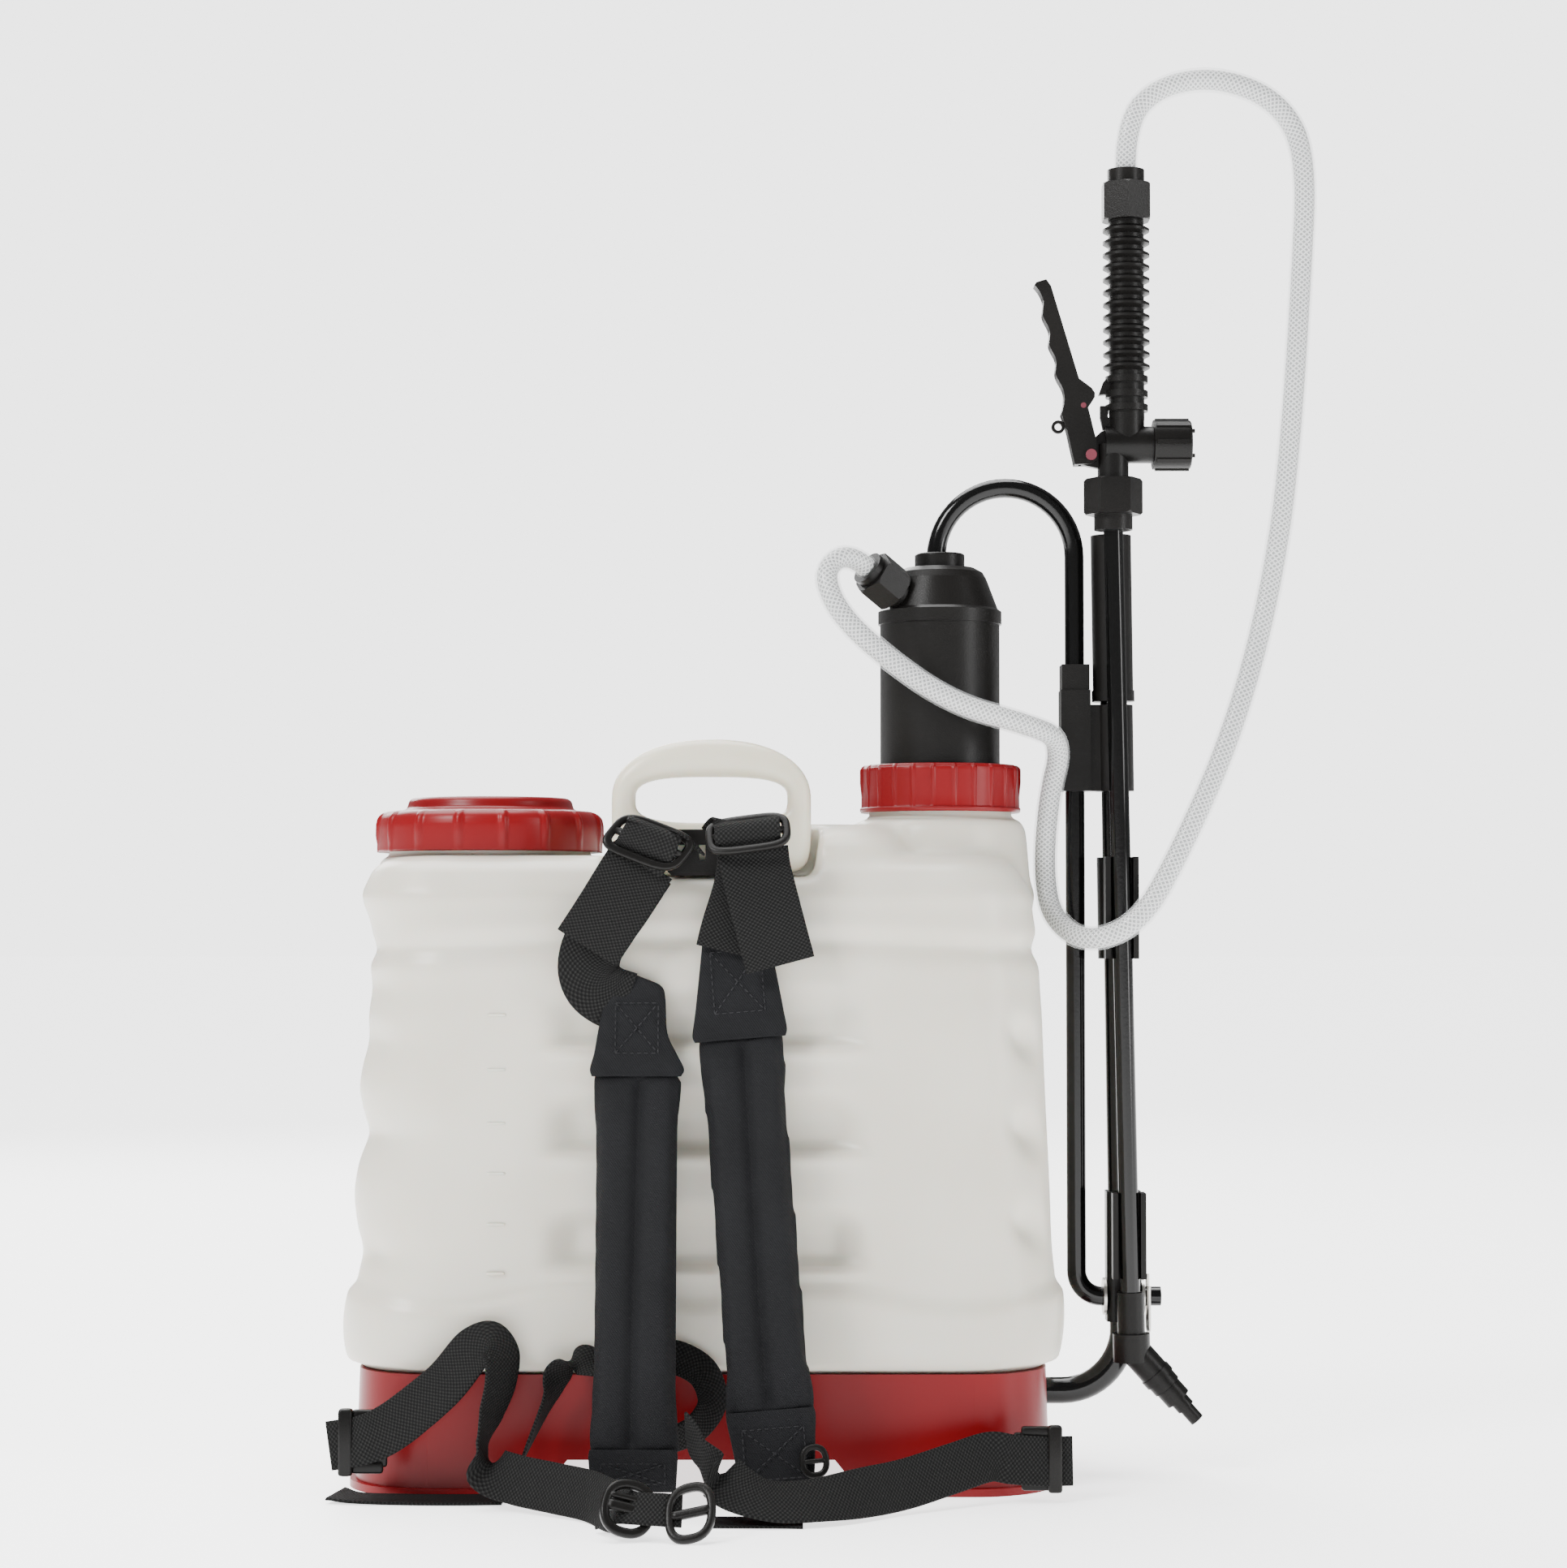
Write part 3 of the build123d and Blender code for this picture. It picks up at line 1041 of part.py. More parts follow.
PARTS = {
    "tank": make_tank,
    "base": make_base,
    "base_screws": make_base_screws,
    "carry_handle": make_carry_handle,
    "handle_screws": make_handle_screws,
    "shaft_bushes": make_shaft_bushes,
    "strainer_basket": make_basket,
    "lid_gasket": lambda: post(FILLER_NECK_R, BASKET_RIM, GASKET_TOP, FILLER_X, bore=FILLER_BORE_R),
    "filler_lid": make_lid,
    "lid_vent_valve": make_vent_valve,
    "pump_cylinder": make_cylinder,
    "cylinder_gasket": lambda: post(
        PUMP_NECK_R, FLANGE_TOP, FLANGE_TOP + GASKET_THICKNESS, PUMP_X, bore=CHAMBER_R + COLLAR_GAP - 0.2
    ),
    "foot_valve": make_foot_valve,
    "suction_ball": lambda: resting_ball(BALL_R, SEAT_R, SEAT_Z),
    "delivery_ball": lambda: resting_ball(BALL_R, DELIVERY_SEAT_R, CHAMBER_BOTTOM + 4),
    "collar_nut": make_collar,
    "air_chamber": make_chamber,
    "chamber_head": make_head,
    "chamber_cap": make_cap,
    "piston_cup": make_piston_cup,
    "piston_retainer": make_piston_retainer,
    "lower_hose_nut": make_lower_hose_nut,
    "link_rod": make_link_rod,
    "rod_washers": make_rod_washers,
    "r_clip": make_r_clip,
    "lever_tube": make_lever_tube,
    "lever_grip": make_lever_grip,
    "stow_clip": make_stow_clip,
    "lance_clip": make_lance_clip,
    "lever_bracket": make_bracket,
    "shaft_clip": make_shaft_clip,
    "lance_tube": make_lance_tube,
    "lance_handle": make_lance_handle,
    "grip_filter": make_grip_filter,
    "valve_stem": make_valve_stem,
    "valve_spring": make_valve_spring,
    "valve_cap": make_valve_cap,
    "trigger": make_trigger,
    "trigger_lock": make_trigger_lock,
    "trigger_pins": lambda: make_trigger_pin() + make_lock_pin(),
    "lance_nut": make_lance_nut,
    "upper_hose_nut": make_upper_hose_nut,
    "lance_ferrule": make_ferrule,
    "nozzle_elbow": make_elbow,
    "nozzle_body": make_nozzle_body,
    "nozzle_cap": make_nozzle_cap,
    "strap_anchor": make_strap_anchor,
    "triglides": lambda: make_triglide(*TRIGLIDE_LEFT) + make_triglide(*TRIGLIDE_RIGHT),
    "strap_left": make_strap_left,
    "strap_right": make_strap_right,
    "pad_left": lambda: make_pad(*PAD_LEFT),
    "pad_right": lambda: make_pad(*PAD_RIGHT),
    "lower_straps": lambda: make_lower_strap_left() + make_lower_strap_right(),
    "side_hooks": lambda: make_side_hook(-1, 14.5, 46.5) + make_side_hook(1, 6.0, 38.0),
    "adjusters": lambda: make_adjuster_left() + make_adjuster_right(),
    "waist_buckle": lambda: loop_buckle(-4, -222, 10.5, 30, 40, 4.5, 62, 8),
    "waist_strap": make_waist_strap,
}

HOSES = {"hose_lower": HOSE_LOWER, "hose_middle": HOSE_MIDDLE, "hose_upper": HOSE_UPPER}

for node, make in PARTS.items():
    save(make(), node)
for node, route in HOSES.items():
    save(make_hose(route, node), node)
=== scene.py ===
"""Backpack sprayer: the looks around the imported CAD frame. Numbers are millimetres until MM scales them."""

import json
from math import cos, pi, radians, sin

import bpy
import numpy as np
from mathutils import Euler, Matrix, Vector


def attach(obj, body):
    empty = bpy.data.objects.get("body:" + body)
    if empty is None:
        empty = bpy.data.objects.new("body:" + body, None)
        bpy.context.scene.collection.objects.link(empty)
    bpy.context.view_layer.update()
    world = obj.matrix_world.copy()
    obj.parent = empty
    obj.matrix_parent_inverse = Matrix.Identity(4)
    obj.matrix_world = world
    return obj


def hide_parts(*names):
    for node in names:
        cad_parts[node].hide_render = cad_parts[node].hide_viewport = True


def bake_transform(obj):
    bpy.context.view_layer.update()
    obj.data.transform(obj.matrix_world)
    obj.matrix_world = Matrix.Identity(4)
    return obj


MM = 0.001

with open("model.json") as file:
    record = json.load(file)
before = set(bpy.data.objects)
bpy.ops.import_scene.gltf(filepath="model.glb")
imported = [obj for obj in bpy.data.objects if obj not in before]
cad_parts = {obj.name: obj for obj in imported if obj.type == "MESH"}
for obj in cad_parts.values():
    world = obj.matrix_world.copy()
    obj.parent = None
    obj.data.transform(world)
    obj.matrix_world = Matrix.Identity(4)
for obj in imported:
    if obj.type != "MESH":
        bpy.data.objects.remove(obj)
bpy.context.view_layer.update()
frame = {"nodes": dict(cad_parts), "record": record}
nodes = frame["nodes"]


# ---------- camera ----------

CAMERA_PLACE = (42.5, -1839, 294)
CAMERA_LENS = 77.4
CAMERA_PITCH = 2.4


def make_camera():
    """A long lens in front of the straps, a little below the tank's top and looking slightly up."""
    data = bpy.data.cameras.new("camera")
    data.sensor_width = 36
    data.lens = CAMERA_LENS
    data.clip_end = 100
    camera = bpy.data.objects.new("camera", data)
    camera.location = Vector(CAMERA_PLACE) * MM
    camera.rotation_euler = Euler((radians(90 + CAMERA_PITCH), 0, 0))
    bpy.context.scene.collection.objects.link(camera)
    bpy.context.scene.camera = camera


make_camera()


# ---------- materials ----------

class Finish:
    """A Principled material under construction."""

    def __init__(self, name, color, roughness, **sockets):
        self.material = bpy.data.materials.new(name)
        self.material.use_nodes = True
        self.tree = self.material.node_tree
        self.shader = self.tree.nodes["Principled BSDF"]
        self.color = (*color, 1)
        self.shader.inputs["Base Color"].default_value = self.color
        self.shader.inputs["Roughness"].default_value = roughness
        for socket, value in sockets.items():
            self.shader.inputs[socket.replace("_", " ")].default_value = value

    def node(self, kind, **values):
        made = self.tree.nodes.new(kind)
        for key, value in values.items():
            if key in made.inputs:
                made.inputs[key].default_value = value
            else:
                setattr(made, key, value)
        return made

    def link(self, source, target):
        self.tree.links.new(source, target)

    def noise(self, scale, detail=3.0):
        where = self.node("ShaderNodeTexCoord")
        noise = self.node("ShaderNodeTexNoise", Scale=scale, Detail=detail)
        self.link(where.outputs["Object"], noise.inputs["Vector"])
        return noise.outputs["Fac"]

    def tint(self, mask, other, low=0.35, high=0.65):
        """Lets another colour in where the mask is high."""
        ramp = self.node("ShaderNodeMapRange")
        ramp.inputs["From Min"].default_value = low
        ramp.inputs["From Max"].default_value = high
        mix = self.node("ShaderNodeMix", data_type="RGBA")
        self.link(mask, ramp.inputs["Value"])
        self.link(ramp.outputs["Result"], mix.inputs["Factor"])
        mix.inputs["A"].default_value = self.color
        mix.inputs["B"].default_value = (*other, 1)
        self.link(mix.outputs["Result"], self.shader.inputs["Base Color"])

    def bump(self, height, strength, depth):
        bump = self.node("ShaderNodeBump", Strength=strength, Distance=depth)
        self.link(height, bump.inputs["Height"])
        before = self.shader.inputs["Normal"].links
        if before:
            self.link(before[0].from_socket, bump.inputs["Normal"])
        self.link(bump.outputs["Normal"], self.shader.inputs["Normal"])

    def math(self, operation, a, b=None):
        node = self.node("ShaderNodeMath", operation=operation)
        for value, socket in zip((a, b), node.inputs):
            if isinstance(value, (int, float)):
                socket.default_value = value
            elif value is not None:
                self.link(value, socket)
        return node.outputs[0]

    def weave(self, vector, pitch_u, pitch_v, diagonal=0.0):
        """Height of a woven cloth: two sets of yarn over and under each other."""
        parts = self.node("ShaderNodeSeparateXYZ")
        self.link(vector, parts.inputs["Vector"])
        u, v = parts.outputs[0], parts.outputs[1]
        if diagonal:
            u = self.math("ADD", u, self.math("MULTIPLY", v, diagonal))
        warp = self.math("SINE", self.math("MULTIPLY", u, 2 * pi / pitch_u))
        weft = self.math("SINE", self.math("MULTIPLY", v, 2 * pi / pitch_v))
        return self.math("ADD", self.math("MULTIPLY", self.math("MULTIPLY", warp, weft), 0.5), 0.5)


def plastic(name, color, other, roughness, grain=0.15, grain_scale=900, **sockets):
    """Moulded plastic: a tone that drifts slightly, and a fine surface grain."""
    made = Finish(name, color, roughness, **sockets)
    made.tint(made.noise(14), other)
    made.bump(made.noise(grain_scale, 2), grain, 0.0004)
    return made.material


def metal(name, color, other, roughness, scale=60):
    made = Finish(name, color, roughness, Metallic=1.0)
    made.tint(made.noise(scale, 5), other)
    made.bump(made.noise(400, 4), 0.1, 0.0002)
    return made.material


def webbing(name, color, light, pitch=1.5):
    """Woven strap: the cloth's map runs across and along the strap, in metres."""
    made = Finish(name, color, 0.8, Specular_IOR_Level=0.12)
    where = made.node("ShaderNodeUVMap")
    cloth = made.weave(where.outputs["UV"], 1.7 * pitch * MM, 1.4 * pitch * MM)
    made.tint(cloth, light, 0.3, 1.0)
    made.bump(cloth, 0.8, 0.0006)
    return made.material


def pad_cloth(name, color, light):
    """Fine twill over foam, with a loose drift of wear."""
    made = Finish(name, color, 0.7, Specular_IOR_Level=0.14)
    where = made.node("ShaderNodeTexCoord")
    turned = made.node("ShaderNodeVectorRotate", rotation_type="X_AXIS", Angle=pi / 2)
    made.link(where.outputs["Object"], turned.inputs["Vector"])
    cloth = made.weave(turned.outputs["Vector"], 1.3 * MM, 1.1 * MM, 0.5)
    made.tint(made.math("ADD", made.math("MULTIPLY", cloth, 0.6), made.math("MULTIPLY", made.noise(40), 0.4)),
              light, 0.3, 0.9)
    made.bump(cloth, 0.5, 0.0004)
    made.bump(made.noise(90, 4), 0.35, 0.0012)
    return made.material


TANK = plastic("tank_plastic", (0.58, 0.55, 0.47), (0.61, 0.585, 0.51), 0.36, 0.08, 500,
               Subsurface_Weight=0.25, Subsurface_Scale=0.006)
RED = plastic("red_plastic", (0.165, 0.004, 0.006), (0.145, 0.003, 0.005), 0.33, 0.05, 700,
              Specular_IOR_Level=0.2)
BLACK = plastic("black_plastic", (0.0035, 0.0033, 0.0031), (0.0075, 0.0070, 0.0065), 0.33, 0.25, 1400,
                Specular_IOR_Level=0.15)
BLACK_GLOSS = plastic("black_steel", (0.002, 0.002, 0.002), (0.003, 0.003, 0.003), 0.14, 0.05, 500,
                      Specular_IOR_Level=0.3)
CREAM = plastic("cream_plastic", (0.66, 0.63, 0.51), (0.62, 0.585, 0.46), 0.33, 0.06, 500,
                Subsurface_Weight=0.35, Subsurface_Scale=0.006)
BURGUNDY = plastic("burgundy_plastic", (0.12, 0.018, 0.03), (0.09, 0.015, 0.024), 0.35)
WHITE = plastic("white_plastic", (0.8, 0.79, 0.76), (0.76, 0.75, 0.72), 0.4)
RUBBER = plastic("seal_rubber", (0.02, 0.02, 0.02), (0.03, 0.03, 0.03), 0.7, 0.3)
ZINC = metal("zinc_steel", (0.62, 0.60, 0.56), (0.46, 0.45, 0.43), 0.34)
STEEL = metal("bright_steel", (0.65, 0.65, 0.65), (0.55, 0.55, 0.55), 0.25)
WEB = webbing("grey_webbing", (0.0035, 0.0035, 0.0035), (0.019, 0.019, 0.0185))
DARK_WEB = webbing("dark_webbing", (0.003, 0.003, 0.003), (0.012, 0.012, 0.012))
PAD = pad_cloth("pad_fabric", (0.0035, 0.0036, 0.0042), (0.010, 0.0104, 0.012))
THREAD = plastic("thread", (0.012, 0.012, 0.013), (0.020, 0.020, 0.022), 0.7, Specular_IOR_Level=0.2)
# Painted shade on the clear hose: the wall's grey tint, the dark grey inner core and the braid set a little
# greyer than white stand in for the shading seen through the clear PVC
HOSE_WALL_SHADED = plastic("hose_wall_painted_shade", (0.62, 0.64, 0.64), (0.58, 0.60, 0.61), 0.10, 0.03, 300,
                    Alpha=0.22)
HOSE_CORE_SHADE = plastic("hose_core_painted_shade", (0.22, 0.225, 0.225), (0.18, 0.185, 0.19), 0.35)
BRAID = plastic("hose_braid", (0.74, 0.745, 0.74), (0.68, 0.68, 0.675), 0.45)

SLOT_FINISH = {
    "tank_plastic": TANK, "red_plastic": RED, "black_plastic": BLACK, "black_steel": BLACK_GLOSS,
    "cream_plastic": CREAM, "burgundy_plastic": BURGUNDY, "zinc_steel": ZINC, "grey_webbing": WEB,
    "dark_webbing": DARK_WEB, "pad_fabric": PAD, "clear_hose": HOSE_WALL_SHADED, "seal_rubber": RUBBER,
    "white_plastic": WHITE, "bright_steel": STEEL,
}

for row in frame["record"]["subparts"]:
    cad_mesh = nodes[row["node"]].data
    cad_mesh.materials.clear()
    cad_mesh.materials.append(SLOT_FINISH[row["material_slot"]])


# ---------- mesh helpers ----------

def add_piece(name, points, faces, finish, uvs=None):
    """A smooth-shaded mesh object from points in millimetres."""
    mesh = bpy.data.meshes.new(name)
    mesh.from_pydata([Vector(p) * MM for p in points], [], faces)
    mesh.materials.append(finish)
    mesh.shade_smooth()
    if uvs:
        layer = mesh.uv_layers.new(name="UVMap")
        for loop in mesh.loops:
            layer.data[loop.index].uv = uvs[loop.vertex_index]
    piece = bpy.data.objects.new(name, mesh)
    bpy.context.scene.collection.objects.link(piece)
    return piece


def ring_faces(rings, around, closed=False):
    """Quads between rings of points; closed joins the last ring to the first."""
    faces = []
    for i in range(rings if closed else rings - 1):
        a, b = i * around, (i + 1) % rings * around
        faces += [(a + j, a + (j + 1) % around, b + (j + 1) % around, b + j) for j in range(around)]
    return faces


def loft(rings, capped=True, closed=False):
    """(points, faces) of a skin over rings with equal numbers of points."""
    around = len(rings[0])
    faces = ring_faces(len(rings), around, closed)
    if capped and not closed:
        faces += [tuple(reversed(range(around))), tuple((len(rings) - 1) * around + j for j in range(around))]
    return [p for ring in rings for p in ring], faces


def merge(*skins):
    """Several (points, faces) as one."""
    points, faces = [], []
    for more_points, more_faces in skins:
        start = len(points)
        points += more_points
        faces += [tuple(start + i for i in face) for face in more_faces]
    return points, faces


def turned(profile, x, y=0.0, count=96, ribs=None):
    """A lathe about a vertical axis. ribs(angle, index) gives a radial offset."""
    rings = []
    for index, (radius, height) in enumerate(profile):
        ring = []
        for k in range(count):
            angle = 2 * pi * k / count
            r = radius + (ribs(angle, index) if ribs else 0)
            ring.append((x + r * cos(angle), y + r * sin(angle), height))
        rings.append(ring)
    return loft(rings, capped=False)


def rounded_rectangle(x0, x1, half_depth, corner, height, per_corner=14, per_side=22):
    """A closed ring of points at one height, counter-clockwise from the right side."""
    corners = ((x1 - corner, half_depth - corner, 0), (x0 + corner, half_depth - corner, 1),
               (x0 + corner, corner - half_depth, 2), (x1 - corner, corner - half_depth, 3))
    ring = []
    for k, (cx, cy, turn) in enumerate(corners):
        for i in range(per_corner + 1):
            angle = (turn + i / per_corner) * pi / 2
            ring.append((cx + corner * cos(angle), cy + corner * sin(angle), height))
        nx, ny, _ = corners[(k + 1) % 4]
        end = (turn + 1) * pi / 2
        ax, ay = cx + corner * cos(end), cy + corner * sin(end)
        bx, by = nx + corner * cos(end), ny + corner * sin(end)
        ring += [(ax + (bx - ax) * i / per_side, ay + (by - ay) * i / per_side, height)
                 for i in range(1, per_side)]
    return ring


def smoothstep(low, high, value):
    t = np.clip((value - low) / (high - low), 0, 1)
    return t * t * (3 - 2 * t)


def spline(controls, per_run=10):
    """Catmull-Rom points through rows of numbers."""
    rows = np.array(controls, float)
    rows = np.vstack([2 * rows[0] - rows[1], rows, 2 * rows[-1] - rows[-2]])
    out = []
    for a, b, c, d in zip(rows, rows[1:], rows[2:], rows[3:]):
        for t in np.linspace(0, 1, per_run, endpoint=False):
            out.append(0.5 * (2 * b + (c - a) * t + (2 * a - 5 * b + 4 * c - d) * t**2
                              + (3 * b - a - 3 * c + d) * t**3))
    return np.array([*out, rows[-2]])


# ---------- tank ----------

FILLER_X, PUMP_X = -117.4, 128.0
# height, left, right, half depth, corner
TANK_SIDES = (
    (62, -172, 172, 76, 40), (64, -180, 180, 81, 43), (68, -185, 185, 85, 45), (76, -187, 187, 87, 46),
    (90, -187, 188, 87, 46), (104, -184, 187, 87, 46), (114, -182, 186, 87, 46), (123, -180, 185, 87, 46),
    (134, -183, 184.5, 87.5, 46), (150, -185, 184, 88, 46), (163, -184, 183.5, 88, 46),
    (174, -181, 183, 88, 46), (184, -177, 182.5, 88, 46), (195, -180, 182, 88, 46),
    (207, -182.5, 181.5, 88, 46), (220, -181, 181, 88, 46), (233, -177.5, 180.5, 88, 46),
    (246, -178, 180, 88, 46), (262, -176, 179, 87, 46), (276, -178, 178.5, 87, 46),
    (291, -176.5, 177, 86, 46), (304, -180, 174.5, 84.5, 44), (316, -179.5, 171, 81.5, 42),
    (324, -176, 167, 77, 38), (329, -168, 160, 69, 32), (331, -156, 150, 58, 26),
)
GRID = 2.6


def join_remeshed(name, skins, voxel):
    """One closed skin over several overlapping solids."""
    points, faces = merge(*skins)
    piece = add_piece(name, points, faces, TANK)
    remesh(piece, voxel)
    return piece


def remesh(piece, voxel):
    modifier = piece.modifiers.new("remesh", "REMESH")
    modifier.mode = "VOXEL"
    modifier.voxel_size = voxel * MM
    modifier.use_smooth_shade = True
    apply_modifiers(piece)


def apply_modifiers(piece):
    graph = bpy.context.evaluated_depsgraph_get()
    mesh = bpy.data.meshes.new_from_object(piece.evaluated_get(graph))
    old = piece.data
    piece.modifiers.clear()
    piece.data = mesh
    bpy.data.meshes.remove(old)
    mesh.shade_smooth()


def relax(piece, factor, times):
    modifier = piece.modifiers.new("relax", "SMOOTH")
    modifier.factor = factor
    modifier.iterations = times
    apply_modifiers(piece)


def coordinates(piece):
    co = np.empty(len(piece.data.vertices) * 3, np.float32)
    piece.data.vertices.foreach_get("co", co)
    return co.reshape(-1, 3).astype(float) / MM


def set_coordinates(piece, co):
    piece.data.vertices.foreach_set("co", (co * MM).astype(np.float32).ravel())
    piece.data.update()


def directions(piece):
    normals = np.empty(len(piece.data.vertices) * 3, np.float32)
    piece.data.vertices.foreach_get("normal", normals)
    return normals.reshape(-1, 3).astype(float)


def lozenge(x, z, x0, x1, z0, z1, soft_x, soft_low, soft_high):
    """1 inside a box in X and Z with soft edges."""
    across = smoothstep(x0 - soft_x, x0 + soft_x, x) * (1 - smoothstep(x1 - soft_x, x1 + soft_x, x))
    up = smoothstep(z0 - soft_low, z0 + soft_low, z) * (1 - smoothstep(z1 - soft_high, z1 + soft_high, z))
    return across * up


def make_tank():
    """The blown tank with its turrets, notch, scoops and dents, as one remeshed skin."""
    body = loft([rounded_rectangle(x0, x1, depth, corner, z)
                 for z, x0, x1, depth, corner in spline(TANK_SIDES, 4)])
    filler = turned([(0.1, 300), (60, 300), (60.5, 326), (59.5, 330), (57, 331.5), (0.1, 331.6)], FILLER_X)
    hump = loft([rounded_rectangle(-50 + grow, 112 - 0.5 * grow, 78 - grow, 28, z)
                 for z, grow in ((300, 0), (325, 3), (336, 8), (342, 14), (346, 22), (347.6, 32), (348, 42))])
    pump = turned([(0.1, 290), (50, 290), (49.5, 310), (48, 330), (46.8, 344), (45.5, 349), (42.5, 352),
                   (0.1, 352)], PUMP_X)
    tank = join_remeshed("tank_shell", [body, filler, hump, pump], GRID)
    co = coordinates(tank)
    x, y, z = co.T
    in_notch = (x > -50) & (x < 59) & (y < -52) & (z > 319)
    z[in_notch] = 319 + 0.02 * (z[in_notch] - 319)
    set_coordinates(tank, np.stack([x, y, z], 1))
    remesh(tank, GRID)
    relax(tank, 0.5, 7)
    co, out = coordinates(tank), directions(tank)
    x, y, z = co.T
    facing = smoothstep(0.35, 0.8, np.abs(out[:, 1]))
    upright = 1 - smoothstep(0.45, 0.8, np.abs(out[:, 2]))
    push = np.zeros(len(co))
    # the raised band round the foot, with its wavy lip
    lip = 100 + 5 * np.cos(2 * pi * (np.abs(x) - 60) / 150)
    push += 3.6 * (1 - smoothstep(lip - 3, lip + 5, z)) * upright
    # the shoulder groove, deeper in front
    groove = 284 + 3 * np.cos(x / 60)
    push -= 3.6 * np.exp(-((z - groove) / 6.0) ** 2) * upright
    # shallow scoops across the middle
    for top in (256, 201.5, 142.5):
        scoop = lozenge(x, z, -74, 78, top - 24, top, 12, 2.5, 9)
        push -= 8.0 * scoop * facing
        push += 1.6 * np.exp(-((z - top + 28) / 2.6) ** 2) * lozenge(x, z, -78, 82, 0, 400, 14, 1, 1) * facing
    # thumb dents down the right-hand corners
    for height in (233, 185, 137):
        for side in (-1, 1):
            slant = (z - height + 0.5 * (x - 171)) / 9
            dent = ((x - 171) / 10) ** 2 + ((y - side * 74) / 12) ** 2 + slant ** 2
            push -= 6.0 * np.exp(-dent)
    # finger dents down the left-hand corners
    for height in (292, 261, 233, 185, 124):
        for side in (-1, 1):
            dent = ((x + 174) / 9) ** 2 + ((y - side * 76) / 14) ** 2 + ((z - height) / 7) ** 2
            push -= 3.0 * np.exp(-dent)
    # a soft ridge where the front face rolls on to the top
    push += 1.8 * np.exp(-((z - 310) / 6) ** 2) * upright
    co += out * push[:, None]
    # the foot's edge hangs over the base's rim
    co[:, 2] -= 2.6 * (1 - smoothstep(61, 76, z))
    set_coordinates(tank, co)
    relax(tank, 0.5, 2)
    return tank


def make_necks():
    """The filler's and the pump's threaded necks, with the lips under their caps."""
    filler = turned([(57, 330.5), (55.6, 331.5), (54.7, 333), (54.7, 346), (53.5, 346.8), (50.5, 346.8),
                     (50, 346), (50, 300)], FILLER_X)
    pump = turned([(42, 351), (40.2, 352), (38.8, 353.5), (38.5, 371), (35.6, 371.5), (35.3, 330)], PUMP_X)
    points, faces = merge(filler, pump)
    return add_piece("tank_necks", points, faces, TANK)


def make_level_marks():
    """Short raised dashes for the filling level."""
    skins = []
    for height in (247.6, 219.3, 191.5, 165.7, 139.5, 114.2):
        rings = []
        for x in np.linspace(-111, -101.5, 9):
            size = 0.75 * (1 - ((x + 106.25) / 5.2) ** 6) ** 0.5
            rings.append([(x, -88.1 + 0.9 * size * sin(a), height + size * cos(a))
                          for a in np.linspace(0, 2 * pi, 10, endpoint=False)])
        skins.append(loft(rings))
    points, faces = merge(*skins)
    return add_piece("level_marks", points, faces, TANK)


tank = make_tank()
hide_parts("tank")
for piece in (tank, make_necks(), make_level_marks()):
    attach(piece, "tank")


# ---------- lid and collar ----------

def comb(angle, count, half_width, first=0.0):
    """1 on each of a number of equal ribs round a circle, 0 between them."""
    step = 2 * pi / count
    off = (angle - first + step / 2) % step - step / 2
    return float(1 - smoothstep(0.6 * half_width, 1.4 * half_width, abs(off)))


def make_lid():
    """The filler lid: sixteen ribs round the skirt and a raised disc on top."""
    profile = [(55.6, 335), (60.5, 334), (61, 334.6), (61, 346), (60.7, 349), (59.8, 352), (58, 354.2),
               (55.5, 355.4), (51, 356), (47.5, 356.4), (45.6, 357.4), (44.9, 359), (44.3, 361), (43, 362.4),
               (40.5, 363), (30, 363.1), (12, 363.1), (3, 363.1)]
    raised = {2: 0.5, 3: 1.3, 4: 1.4, 5: 1.5, 6: 1.4, 7: 0.9, 8: 0.3}

    def rib(angle, index):
        return raised.get(index, 0) * comb(angle, 16, 0.03, radians(11.25))

    points, faces = turned(spline(profile, 3), FILLER_X, count=384,
                           ribs=lambda angle, index: rib(angle, round(index / 3)))
    return add_piece("lid_shell", points, faces, RED)


def make_collar():
    profile = [(39.2, 356), (42.6, 355), (43.6, 355.8), (43.7, 357.6), (42.9, 358.4), (42.9, 377),
               (42.7, 379), (41.6, 380.6), (39.5, 381), (38, 381), (36.95, 380.6), (36.8, 378)]
    raised = {4: 0.3, 5: 1.1, 6: 1.0, 7: 0.7, 8: 0.2}

    def rib(angle, index):
        return raised.get(index, 0) * comb(angle, 24, 0.022, radians(7.5))

    points, faces = turned(spline(profile, 3), PUMP_X, count=480,
                           ribs=lambda angle, index: rib(angle, round(index / 3)))
    return add_piece("collar_shell", points, faces, RED)


lid, collar = make_lid(), make_collar()
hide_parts("filler_lid")
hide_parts("collar_nut")
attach(lid, "lid")
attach(collar, "collar")


# ---------- hose ----------

HOSE_R = 6.65
HOSE_LOWER = [
    (0.0876, -0.0274, 0.4867), (0.077, -0.0347, 0.4947), (0.0635, -0.041, 0.484), (0.0705, -0.049, 0.462),
    (0.092, -0.0515, 0.440), (0.131, -0.052, 0.412), (0.172, -0.047, 0.401), (0.193, -0.027, 0.394),
    (0.186, -0.009, 0.361), (0.185, -0.0055, 0.338),
]
HOSE_MIDDLE = [
    (0.185, -0.0055, 0.338), (0.18425, -0.002875, 0.32075), (0.188, -0.014, 0.297), (0.205, -0.038, 0.284),
    (0.232, -0.044, 0.295), (0.252, -0.043, 0.329), (0.281, -0.040, 0.392), (0.303, -0.033, 0.465),
    (0.318, -0.026, 0.556), (0.3255, -0.020, 0.676),
]
HOSE_UPPER = [
    (0.3255, -0.020, 0.676), (0.328, -0.018, 0.714), (0.312, -0.0175, 0.744), (0.278, -0.017, 0.757),
    (0.246, -0.017, 0.751), (0.229, -0.017, 0.731), (0.229, -0.017, 0.705),
]
CORE_R = 5.3
STRANDS = 10
